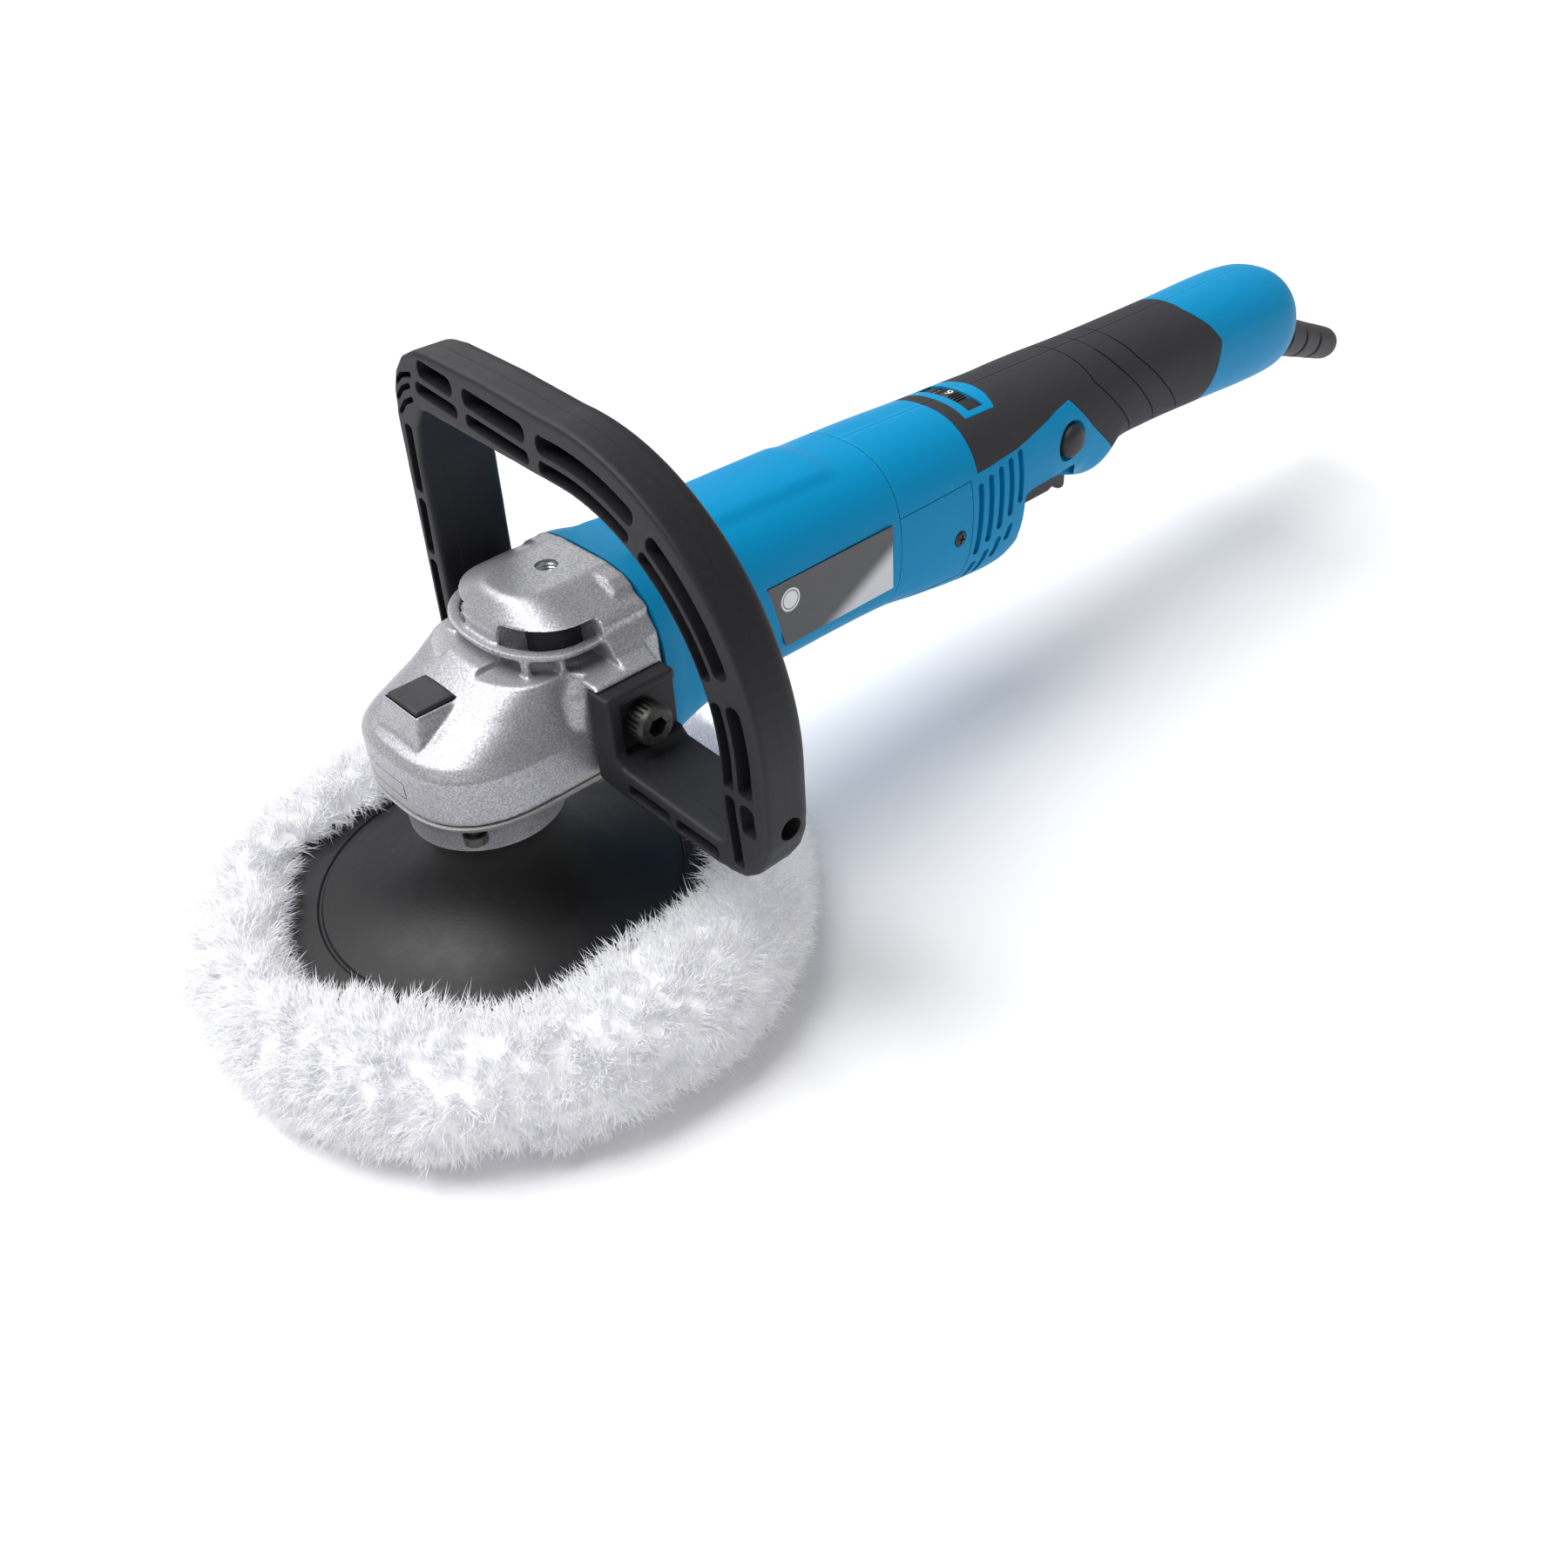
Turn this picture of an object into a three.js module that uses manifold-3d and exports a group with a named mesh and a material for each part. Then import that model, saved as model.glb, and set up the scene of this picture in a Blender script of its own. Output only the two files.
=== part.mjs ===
// Rotary polisher with a D-shaped auxiliary handle, a wool bonnet and its drive train.
// Millimetres. Origin: spindle axis at the working face of the bonnet.
// +X runs rearwards along the body, +Z up the spindle, +Y to the far side of the tool.
import * as THREE from 'three';
import { mergeVertices } from 'three/addons/utils/BufferGeometryUtils.js';
import Module from 'manifold-3d';

const wasm = await Module();
wasm.setup();

// ---- driving dimensions ----
const MOTOR_Z = 97.5;            // height of the armature axis above the bonnet's face
const GAP = 0.3;                 // clearance kept between touching pieces
const WALL = 3;                  // moulded wall of the body
const GRIP_SKIN = 2;             // thickness of the soft over-moulding

const CASE_FRONT = -30;          // nose of the gear case
const SEAM_X = 50.7;             // gear case to motor housing
const MID_SEAM_X = 162.8;        // motor housing to rear housing
const BODY_END = 441;            // rear face of the rear housing
const COVER_TOP = 77;            // parting plane of gear case and gearbox cover
const COLLAR_BOTTOM = 59;
const COLLAR_RADIUS = 25.2;
const CASE_HALF_WIDTH = 35;
const CASE_TOP = 131;
const PLATFORM_TOP = 107;        // raised block around the spindle lock button

const PAD_RADIUS = 88;
const BONNET_RADIUS = 106;

const RING_TEETH = 30;
const PINION_TEETH = 8;
const RING_PITCH_RADIUS = 23;
const PINION_PITCH_RADIUS = RING_PITCH_RADIUS * PINION_TEETH / RING_TEETH;
const FACE_WIDTH = 7;

const SHAFT_RADIUS = 4;
const SPINDLE_RADIUS = 7.5;

const HANDLE_FRONT = 20;         // front face of the D-handle
const ARM_DEPTH = 26.4;          // arms, measured along X
const GRIP_DEPTH = 16.5;         // gripped bow, measured along X
const BOLT = { x: 33.2, z: 97.2, faceY: 46.8 };

const BUTTON = { x: -13.7, length: 13.4, width: 16.8, top: 108.6 };
const LOCK_CIRCLE = 12.1;         // radius of the ring gear's lock holes
const LOCK_ON = { x: 265.2, z: 100.6, radius: 6.7 };
const DIAL = { x: 221.4, z: 113.4, radius: 14, width: 7 };
const TRIGGER = { pivotX: 256, pivotZ: 75, rear: 290, halfWidth: 6.4 };
const SLEEVE = { x: 436, z: 89.2, drop: 20, length: 83 };

// ---- materials ----
const look = (color, roughness, metalness = 0) =>
  new THREE.MeshStandardMaterial({ color, roughness, metalness });
const LOOKS = {
  silver: () => look(0xb9babd, 0.42, 0.85),
  blue: () => look(0x0b8fcb, 0.42),
  rubber: () => look(0x2c2c30, 0.82),
  nylon: () => look(0x1b1b1e, 0.55),
  steel: () => look(0x9a9ca0, 0.3, 1),
  blackSteel: () => look(0x17171a, 0.4, 0.8),
  copper: () => look(0xb06a3a, 0.35, 1),
  laminations: () => look(0x6c6f75, 0.5, 0.9),
  carbon: () => look(0x222224, 0.7),
  label: () => look(0x4a4a4e, 0.45),
  wool: () => look(0xf4f3f6, 1),
};

// ---- closed solids: joining and cutting ----
const toSolid = (geometry) => {
  const bare = geometry.clone();
  for (const name of Object.keys(bare.attributes)) {
    if (name !== 'position') bare.deleteAttribute(name);
  }
  const merged = mergeVertices(bare, 1e-4);
  const position = merged.attributes.position;
  const corner = (i) => new THREE.Vector3().fromBufferAttribute(position, i);
  const triangles = [];
  let volume = 0;
  for (let i = 0; i < merged.index.count; i += 3) {
    const [a, b, c] = [0, 1, 2].map((k) => merged.index.getX(i + k));
    if (a === b || b === c || c === a) continue;
    triangles.push([a, b, c]);
    volume += corner(a).dot(corner(b).cross(corner(c)));
  }
  const outward = volume < 0 ? triangles.map(([a, b, c]) => [a, c, b]) : triangles;
  return new wasm.Manifold(new wasm.Mesh({
    numProp: 3,
    vertProperties: new Float32Array(position.array),
    triVerts: new Uint32Array(outward.flat()),
  }));
};
const toGeometry = (solid) => {
  const mesh = solid.getMesh();
  const geometry = new THREE.BufferGeometry();
  geometry.setAttribute('position', new THREE.BufferAttribute(new Float32Array(mesh.vertProperties), 3));
  geometry.setIndex(new THREE.BufferAttribute(new Uint32Array(mesh.triVerts), 1));
  return geometry;
};
const join = (...solids) => solids.reduce((all, one) => all.add(one));
const cut = (solid, ...tools) => tools.reduce((left, tool) => left.subtract(tool), solid);

// ---- basic forms ----
const block = (x0, x1, y0, y1, z0, z1) => {
  const geometry = new THREE.BoxGeometry(x1 - x0, y1 - y0, z1 - z0);
  return toSolid(geometry.translate((x0 + x1) / 2, (y0 + y1) / 2, (z0 + z1) / 2));
};
// a turned solid; profile points are [radius, station along the axis]
const turned = (axis, profile, segments, x = 0, y = 0, z = 0) => {
  const points = profile.map(([radius, station]) => new THREE.Vector2(radius, station));
  const geometry = new THREE.LatheGeometry(points, segments);
  if (axis === 'x') geometry.rotateZ(-Math.PI / 2);
  if (axis === 'z') geometry.rotateX(Math.PI / 2);
  return toSolid(geometry.translate(x, y, z));
};
const rod = (axis, radius, from, to, segments, x = 0, y = 0, z = 0) =>
  turned(axis, [[0, from], [radius, from], [radius, to], [0, to]], segments, x, y, z);
const ring = (axis, inner, outer, from, to, segments, x = 0, y = 0, z = 0) => {
  const profile = [[inner, from], [outer, from], [outer, to], [inner, to], [inner, from]];
  return turned(axis, profile, segments, x, y, z);
};
const outline = (points) => new THREE.Shape(points.map(([u, v]) => new THREE.Vector2(u, v)));
const extruded = (shape, depth, bevel = 0) => {
  const settings = { depth: depth - 2 * bevel, curveSegments: 10, bevelEnabled: bevel > 0 };
  if (bevel > 0) {
    Object.assign(settings, { bevelSize: bevel, bevelThickness: bevel, bevelOffset: -bevel, bevelSegments: 2 });
  }
  return new THREE.ExtrudeGeometry(shape, settings).translate(0, 0, bevel);
};
// plan outline (x, y) pushed up Z; side outline (x, z) pushed along Y; front outline (y, z) along X
const upZ = (shape, z0, z1) => toSolid(extruded(shape, z1 - z0).translate(0, 0, z0));
const alongY = (shape, y0, y1) => toSolid(extruded(shape, y1 - y0).rotateX(Math.PI / 2).translate(0, y1, 0));
const alongX = (shape, x0, x1, bevel = 0) => {
  const geometry = extruded(shape, x1 - x0, bevel);
  geometry.applyMatrix4(new THREE.Matrix4().set(0, 0, 1, x0, 1, 0, 0, 0, 0, 1, 0, 0, 0, 0, 0, 1));
  return toSolid(geometry);
};

// ---- body: one form along X, its section a rounded square that changes from station to station ----
const BODY_STATIONS = [
  { x: SEAM_X + GAP, half: 36, top: 131, bottom: 61, square: 3.2 },
  { x: 62, half: 33.5, top: 130.5, bottom: 63, square: 2.8 },
  { x: 80, half: 31.5, top: 130, bottom: 64.5, square: 2.5 },
  { x: 120, half: 31, top: 129.5, bottom: 64.5, square: 2.5 },
  { x: 162, half: 30.5, top: 128.8, bottom: 63, square: 2.5 },
  { x: 184, half: 30.5, top: 128.2, bottom: 59.2, square: 2.5 },
  { x: 229, half: 29.8, top: 127, bottom: 53.6, square: 2.4 },
  { x: 248, half: 28, top: 126.7, bottom: 61, square: 2.3 },
  { x: 262, half: 26.6, top: 126.4, bottom: 73, square: 2.3 },
  { x: 291, half: 25.6, top: 125.8, bottom: 70.5, square: 2.3 },
  { x: 306, half: 24.6, top: 125.4, bottom: 78, square: 2.2 },
  { x: 330, half: 24, top: 125.1, bottom: 78.5, square: 2.2 },
  { x: 400, half: 26, top: 124.3, bottom: 74.4, square: 2.2 },
  { x: 424, half: 25.6, top: 123.2, bottom: 73.5, square: 2.2 },
  { x: 436, half: 22, top: 119.5, bottom: 75, square: 2.2 },
  { x: BODY_END, half: 15, top: 110, bottom: 77, square: 2 },
];
const SECTION_SIDES = 24;
const stationAt = (x) => {
  const next = BODY_STATIONS.findIndex((station) => station.x >= x);
  if (next <= 0) return { ...BODY_STATIONS.at(next), x };
  const [a, b] = [BODY_STATIONS[next - 1], BODY_STATIONS[next]];
  const t = (x - a.x) / (b.x - a.x);
  const mix = (key) => THREE.MathUtils.lerp(a[key], b[key], t);
  return { x, half: mix('half'), top: mix('top'), bottom: mix('bottom'), square: mix('square') };
};
const bodyForm = (inset, x0, x1) => {
  const between = BODY_STATIONS.filter((station) => station.x > x0 && station.x < x1);
  const stations = [stationAt(x0), ...between, stationAt(x1)];
  const geometry = new THREE.CylinderGeometry(1, 1, 1, SECTION_SIDES, stations.length - 1);
  const position = geometry.attributes.position;
  for (let i = 0; i < position.count; i += 1) {
    const row = Math.round((0.5 - position.getY(i)) * (stations.length - 1));
    const { x, half, top, bottom, square } = stations[row];
    const reach = (value) => Math.sign(value) * Math.abs(value) ** (2 / square);
    const y = (half - inset) * reach(position.getX(i));
    const z = (top + bottom) / 2 + ((top - bottom) / 2 - inset) * reach(position.getZ(i));
    position.setXYZ(i, x, y, z);
  }
  return toSolid(geometry);
};

const parts = [];
const add = (name, solid, material) => {
  const mesh = new THREE.Mesh(toGeometry(solid), material);
  mesh.name = name;
  parts.push(mesh);
};
const SIDES = [['left', -1], ['right', 1]];
// the two ends along Y of a piece that lies between `near` and `far` from the middle on one side
const sideSpan = (side, near, far) => (side > 0 ? [near, far] : [-far, -near]);

// ---- gear case: plan, side and front outlines intersected, then bored ----
const nosePlan = (grow, rear) => {
  const half = CASE_HALF_WIDTH + grow;
  const front = CASE_FRONT - grow;
  const shape = new THREE.Shape();
  shape.moveTo(rear, -half);
  shape.lineTo(6, -half);
  shape.bezierCurveTo(-16, -half, front, -20, front, 0);
  shape.bezierCurveTo(front, 20, -16, half, 6, half);
  shape.lineTo(rear, half);
  return shape;
};
const CAVITY_RADIUS = 25.7;
const CAVITY_TOP = 94;
const BEARING_SEAT = 15.2;
const caseSide = outline([
  [CASE_FRONT, COVER_TOP], [CASE_FRONT, 92], [-27, 96.5], [-23, 99], [6, 108.5], [13, 112], [17, 128.5],
  [20, CASE_TOP], [SEAM_X, CASE_TOP], [SEAM_X, 61], [43, 61], [38, 64], [36, COVER_TOP],
]);
const caseFront = outline([
  [-36, 61], [36, 61], [36, 104], [32, 118], [26, 125.5], [13, CASE_TOP],
  [-13, CASE_TOP], [-26, 125.5], [-32, 118], [-36, 104],
]);
const headSlope = outline([[-36, 60], [36, 60], [36, 96], [20, 110], [-20, 110], [-36, 96]]);
const hood = alongX(caseFront, 12, SEAM_X);
const head = alongX(headSlope, CASE_FRONT, 20);
const platform = alongY(outline([[-25, 96], [-20.6, PLATFORM_TOP], [6, PLATFORM_TOP], [12, 96]]), -9.2, 9.2);
const caseOutside = join(
  upZ(nosePlan(0, SEAM_X), 60, 140).intersect(alongY(caseSide, -40, 40)).intersect(join(hood, head)),
  platform,
  alongX(outline([[-41, 110], [-34, 110], [-34, 119]]), 20, 45),
);
const BOSS_DEPTH = 23;
add('gear_case', cut(
  caseOutside,
  rod('z', CAVITY_RADIUS, COVER_TOP - 1, CAVITY_TOP, 32),
  rod('z', 6.2, CAVITY_TOP - 1, 105.3, 18),
  rod('x', 8.6, 8, 33, 20, 0, 0, MOTOR_Z),
  rod('x', BEARING_SEAT, 30.5, 41.5, 24, 0, 0, MOTOR_Z),
  rod('x', 26, 41.4, SEAM_X + 1, 28, 0, 0, MOTOR_Z),
  rod('z', 1.9, CAVITY_TOP - 1, PLATFORM_TOP, 12, -LOCK_CIRCLE),
  block(BUTTON.x - 7, BUTTON.x + 7, -8.7, 8.7, 101.2, 112),
  rod('z', 4.2, 120, 140, 20, 36.4),
  ...SIDES.map(([, side]) => block(19, 47.5, ...sideSpan(side, 36.3, 44), 60, 110)),
  ...SIDES.map(([, side]) => rod('y', 4.3, ...sideSpan(side, BOSS_DEPTH, 44), 16, BOLT.x, 0, BOLT.z)),
  ...SIDES.map(([, side]) => alongY(outline([[10, 112], [34, 119], [43, 119], [43, 106], [35, 106], [24, 112]]),
    ...sideSpan(side, 16, 33))),
), LOOKS.silver());

// ---- gearbox cover with its collar, four screws, lower bearing and felt seal ----
const COVER_SCREWS = [[-19, -25.4], [-19, 25.4], [25, -27], [25, 27]];
const coverPlate = upZ(nosePlan(0.6, 35.5), COVER_TOP - 4.3, COVER_TOP - GAP);
const collar = turned('z', [
  [0, COLLAR_BOTTOM], [COLLAR_RADIUS - 1, COLLAR_BOTTOM], [COLLAR_RADIUS, COLLAR_BOTTOM + 1],
  [27.3, COVER_TOP - 4], [0, COVER_TOP - 4],
], 32);
add('gearbox_cover', cut(
  join(coverPlate, collar),
  rod('z', 16.3, 62.4, 80, 24),
  rod('z', 11.3, COLLAR_BOTTOM - 1, 63, 20),
  rod('x', 2.2, -30, -20, 12, 0, 0, COLLAR_BOTTOM + 3.5),
  ...COVER_SCREWS.map(([x, y]) => rod('z', 2.4, 60, 90, 12, x, y)),
), LOOKS.silver());
COVER_SCREWS.forEach(([x, y], index) => {
  const head = rod('z', 3.8, 69.4, COVER_TOP - 4.6, 12, x, y);
  const shank = rod('z', 2, COVER_TOP - 4.7, COVER_TOP - 0.6, 8, x, y);
  const socket = rod('z', 1.9, 69, 71, 6, x, y);
  add(`cover_screw_${index + 1}`, cut(join(head, shank), socket), LOOKS.blackSteel());
});
add('spindle_bearing_lower', ring('z', SPINDLE_RADIUS + GAP, 16, 62.7, 73.2, 24), LOOKS.steel());
add('spindle_seal', ring('z', SPINDLE_RADIUS + GAP, 11, COLLAR_BOTTOM + 0.4, 62.3, 20), LOOKS.rubber());
add('spindle_bearing_upper', ring('z', 4.3, 5.9, 97.8, 104.8, 18), LOOKS.steel());

// ---- spindle, ring gear and pinion ----
add('spindle', turned('z', [
  [0, 33], [6.4, 33], [7, 34], [7, 56.5], [SPINDLE_RADIUS, 56.5], [SPINDLE_RADIUS, 92],
  [5.5, 93], [4, 95], [4, 104.6], [0, 104.6],
], 20), LOOKS.steel());

// a bevel gear: rings of vertices run out and in along the teeth, and the toothed rings are pushed
// away from the pitch cone on tips and towards it in the gaps
const bevelGear = ({ teeth, tip, root, blank, phase }) => {
  const points = [...blank.before, root.inner, root.outer, ...blank.after];
  const profile = points.map(([radius, station]) => new THREE.Vector2(radius, station));
  const geometry = new THREE.LatheGeometry(profile, teeth * 4);
  const position = geometry.attributes.position;
  const rows = points.length;
  const first = blank.before.length;
  for (let i = 0; i < position.count; i += 1) {
    const step = Math.floor(i / rows);
    const row = i % rows;
    const quarter = step % 4;
    const pitch = 2 * Math.PI / teeth;
    const shift = [-0.11, 0.11, 0.27, 0.73][quarter];
    const angle = (Math.floor(step / 4) + shift) * pitch + phase;
    const onTooth = quarter < 2 && (row === first || row === first + 1);
    const [radius, station] = onTooth ? (row === first ? tip.inner : tip.outer) : points[row];
    position.setXYZ(i, radius * Math.sin(angle), station, radius * Math.cos(angle));
  }
  return geometry;
};
const coneRise = PINION_PITCH_RADIUS / RING_PITCH_RADIUS;
const ringInner = RING_PITCH_RADIUS - FACE_WIDTH;
const conePoint = (radius, offset) => [radius, MOTOR_Z - radius * coneRise + offset];
const RING_TIP = 0.95;
const RING_ROOT = -1.35;
const ringGear = bevelGear({
  teeth: RING_TEETH,
  phase: Math.PI / 2 + Math.PI / RING_TEETH,
  tip: { inner: conePoint(ringInner, RING_TIP * 0.7), outer: conePoint(RING_PITCH_RADIUS + 1, RING_TIP) },
  root: { inner: conePoint(ringInner, RING_ROOT * 0.7), outer: conePoint(RING_PITCH_RADIUS + 1, RING_ROOT) },
  blank: {
    before: [[SPINDLE_RADIUS + GAP, 81], [SPINDLE_RADIUS + GAP, 88.6], [ringInner - 0.6, 88.6]],
    after: [[RING_PITCH_RADIUS + 1, 85.5], [13, 81], [SPINDLE_RADIUS + GAP, 81]],
  },
}).rotateX(Math.PI / 2);
const LOCK_HOLES = 4;
const lockHoles = Array.from({ length: LOCK_HOLES }, (_, k) => {
  const angle = k * 2 * Math.PI / LOCK_HOLES;
  return rod('z', 1.7, 84, 90, 12, LOCK_CIRCLE * Math.cos(angle), LOCK_CIRCLE * Math.sin(angle));
});
add('ring_gear', cut(toSolid(ringGear), ...lockHoles), LOOKS.steel());

const pinionPoint = (x, offset) => [x * coneRise + offset, x];
const PINION_TIP = 0.95;
const PINION_ROOT = -1.35;
const pinionInner = RING_PITCH_RADIUS - FACE_WIDTH;
const pinion = bevelGear({
  teeth: PINION_TEETH,
  phase: 0,
  tip: { inner: pinionPoint(pinionInner, PINION_TIP * 0.7), outer: pinionPoint(RING_PITCH_RADIUS + 1, PINION_TIP) },
  root: { inner: pinionPoint(pinionInner, PINION_ROOT * 0.7), outer: pinionPoint(RING_PITCH_RADIUS + 1, PINION_ROOT) },
  blank: {
    before: [[0, pinionInner - 0.5], [2.6, pinionInner - 0.5]],
    after: [[5.6, RING_PITCH_RADIUS + 2.2], [5.6, 30], [0, 30]],
  },
}).rotateZ(-Math.PI / 2).translate(0, 0, MOTOR_Z);
add('bevel_pinion', cut(toSolid(pinion), rod('x', 2.3, 20, 31, 16, 0, 0, MOTOR_Z)), LOOKS.steel());

// ---- motor: shaft, laminated core, commutator, fan, stator, coils, bearings, brushes ----
add('armature_shaft', turned('x', [
  [0, 20.4], [2, 20.4], [2, 30.3], [5, 30.3], [5, 44], [SHAFT_RADIUS, 44], [SHAFT_RADIUS, 199], [0, 199],
], 20, 0, 0, MOTOR_Z), LOOKS.steel());
add('front_bearing', ring('x', 5.3, 14.9, 31.2, 40.4, 24, 0, 0, MOTOR_Z), LOOKS.steel());
const FAN = { x0: 55, x1: 67, radius: 26, blades: 9 };
const fanBlade = (k) => toSolid(new THREE.BoxGeometry(8.5, 1.3, 15).translate(FAN.x0 + 6.2, 0, 17.2)
  .rotateX(k * 2 * Math.PI / FAN.blades).translate(0, 0, MOTOR_Z));
add('cooling_fan', cut(join(
  rod('x', 8, FAN.x0, FAN.x1, 18, 0, 0, MOTOR_Z),
  rod('x', FAN.radius, FAN.x1 - 2, FAN.x1, 27, 0, 0, MOTOR_Z),
  ...Array.from({ length: FAN.blades }, (_, k) => fanBlade(k)),
), rod('x', SHAFT_RADIUS + GAP, 50, 70, 20, 0, 0, MOTOR_Z)), LOOKS.nylon());
add('fan_baffle', ring('x', 19, 27.4, 69, 71, 28, 0, 0, MOTOR_Z), LOOKS.nylon());

const CORE = { x0: 88, x1: 136, radius: 18.4, slots: 10 };
const coreSlot = (k) => toSolid(new THREE.BoxGeometry(60, 1.8, 6).translate(112, 0, 16.6)
  .rotateX(k * 2 * Math.PI / CORE.slots).translate(0, 0, MOTOR_Z));
add('armature_core', cut(
  rod('x', CORE.radius, CORE.x0, CORE.x1, 30, 0, 0, MOTOR_Z),
  rod('x', SHAFT_RADIUS + GAP, 80, 140, 20, 0, 0, MOTOR_Z),
  ...Array.from({ length: CORE.slots }, (_, k) => coreSlot(k)),
), LOOKS.laminations());
add('commutator', ring('x', SHAFT_RADIUS + GAP, 11, 164, 184, 24, 0, 0, MOTOR_Z), LOOKS.copper());

const STATOR = { x0: 86, x1: 138, radius: 27.5, bore: 19.2 };
const COIL = { inner: 20.6, outer: 25, x0: 78, x1: 146, reach: 1, leg: 0.42 };
add('stator_core', cut(
  rod('x', STATOR.radius, STATOR.x0, STATOR.x1, 32, 0, 0, MOTOR_Z),
  rod('x', STATOR.bore, 80, 140, 28, 0, 0, MOTOR_Z),
  ...SIDES.map(([, side]) => ring('x', COIL.inner - GAP, COIL.outer + GAP, 80, 140, 28, 0, 0, MOTOR_Z)
    .intersect(block(80, 140, ...sideSpan(side, 12, 30), MOTOR_Z - 19, MOTOR_Z + 19))),
), LOOKS.laminations());
// a field coil is a flat racetrack bent round the armature, built from four curved bars
const bentCoil = (direction) => {
  const sector = (from, to, reach0, reach1) => {
    const steps = 6;
    const arc = (radius, backwards) => Array.from({ length: steps + 1 }, (_, k) => {
      const t = backwards ? 1 - k / steps : k / steps;
      const angle = THREE.MathUtils.lerp(reach0, reach1, t);
      return [radius * Math.sin(angle), MOTOR_Z + direction * radius * Math.cos(angle)];
    });
    return alongX(outline([...arc(COIL.inner, false), ...arc(COIL.outer, true)]), from, to);
  };
  const reach = COIL.reach + COIL.leg;
  return join(
    sector(COIL.x0, STATOR.x0 - 0.5, -reach, reach),
    sector(STATOR.x1 + 0.5, COIL.x1, -reach, reach),
    sector(COIL.x0, COIL.x1, reach - COIL.leg, reach),
    sector(COIL.x0, COIL.x1, -reach, COIL.leg - reach),
  );
};
add('field_coil_upper', bentCoil(1), LOOKS.copper());
add('field_coil_lower', bentCoil(-1), LOOKS.copper());
add('rear_bearing', ring('x', SHAFT_RADIUS + GAP, 11, 189.5, 196.5, 28, 0, 0, MOTOR_Z), LOOKS.steel());
for (const [name, side] of SIDES) {
  const holder = block(167, 181, ...sideSpan(side, 12.6, 25.5), MOTOR_Z - 6, MOTOR_Z + 6);
  const tunnel = block(169.7, 178.3, ...sideSpan(side, 10, 30), MOTOR_Z - 3.3, MOTOR_Z + 3.3);
  add(`brush_holder_${name}`, cut(holder, tunnel), look(0xb08a3c, 0.4, 1));
  add(`carbon_brush_${name}`, block(170, 178, ...sideSpan(side, 11.4, 23.5), MOTOR_Z - 3, MOTOR_Z + 3), LOOKS.carbon());
}

// ---- motor housing and the two plain label plates let into its sides ----
const LABEL = { x0: 98.5, x1: 158.5, z0: 82, z1: 107.2, y: 30.1 };
const labelOutline = outline([
  [LABEL.x0, LABEL.z1], [LABEL.x1, LABEL.z1], [LABEL.x1, LABEL.z0], [LABEL.x0 + 7, LABEL.z0],
]);
add('motor_housing', cut(
  bodyForm(0, SEAM_X + GAP, MID_SEAM_X - GAP / 2),
  bodyForm(WALL, SEAM_X, SEAM_X + 20).translate([-0.5, 0, 0]),
  bodyForm(WALL, SEAM_X + 15, MID_SEAM_X + 2),
  ...SIDES.map(([, side]) => alongY(labelOutline, ...sideSpan(side, LABEL.y - GAP, 33))),
), LOOKS.blue());
for (const [name, side] of SIDES) {
  add(`label_plate_${name}`, alongY(labelOutline, ...sideSpan(side, LABEL.y, LABEL.y + 0.5))
    .intersect(block(LABEL.x0 + GAP, LABEL.x1 - GAP, -40, 40, LABEL.z0 + GAP, LABEL.z1 - GAP)), LOOKS.label());
}

// ---- rear housing: two moulded halves, brush doors, and the soft over-moulding of the grip ----
const DOOR = { x0: MID_SEAM_X + GAP, x1: 201.8, z0: 67, z1: 107.5, inner: 18 };
const gripSide = outline([
  [206, 140], [206, 108.6], [221, 109.2], [236, 110.4], [250, 113], [265, 114.2], [279, 102], [291, 91.2],
  [306, 78], [308, 60], [366, 60], [367.5, 91], [371.3, 109.5], [359, 123], [358, 140],
]);
const gripZone = (grow) => {
  const whole = alongY(gripSide, -45, 45);
  const window = block(212.6 - grow, 231.5 + grow, -15.2 - grow, 15.2 + grow, 110, 140);
  return cut(whole, window);
};
const skinShell = bodyForm(0, 200, 380).subtract(bodyForm(GRIP_SKIN, 199, 381));
const rimShell = bodyForm(-1, 200, 380).subtract(bodyForm(GRIP_SKIN + GAP, 199, 381));
const rearShell = cut(
  bodyForm(0, MID_SEAM_X + GAP / 2, BODY_END),
  bodyForm(WALL + GRIP_SKIN, MID_SEAM_X - 1, 434),
  bodyForm(WALL, MID_SEAM_X - 2, 204),
  bodyForm(WALL, 372, 434),
);
const bulkhead = bodyForm(2, 188, 198).intersect(block(188, 198, -40, 40, 62, 120));
const POSTS = [[224, 66], [336, 101], [394, 99]];
const posts = POSTS.map(([x, z]) => rod('y', 4.6, -25, 25, 14, x, 0, z));
const VENTS = 5;
const vents = Array.from({ length: VENTS }, (_, k) => {
  const x = 205.8 + 6.2 * k;
  const low = 75 + 3.2 * k;
  const high = 104.6 + 1.1 * k;
  return block(x - 1.2, x + 1.2, -40, 40, low, high);
});
const sleeveFrame = (solid) => solid.rotate([0, SLEEVE.drop, 0]).translate([SLEEVE.x, 0, SLEEVE.z]);
const doorZone = (grow) => SIDES.map(([, side]) => block(
  DOOR.x0 - 5, DOOR.x1 + grow, ...sideSpan(side, DOOR.inner - grow, 40), DOOR.z0 - grow, DOOR.z1 + grow));
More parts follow.
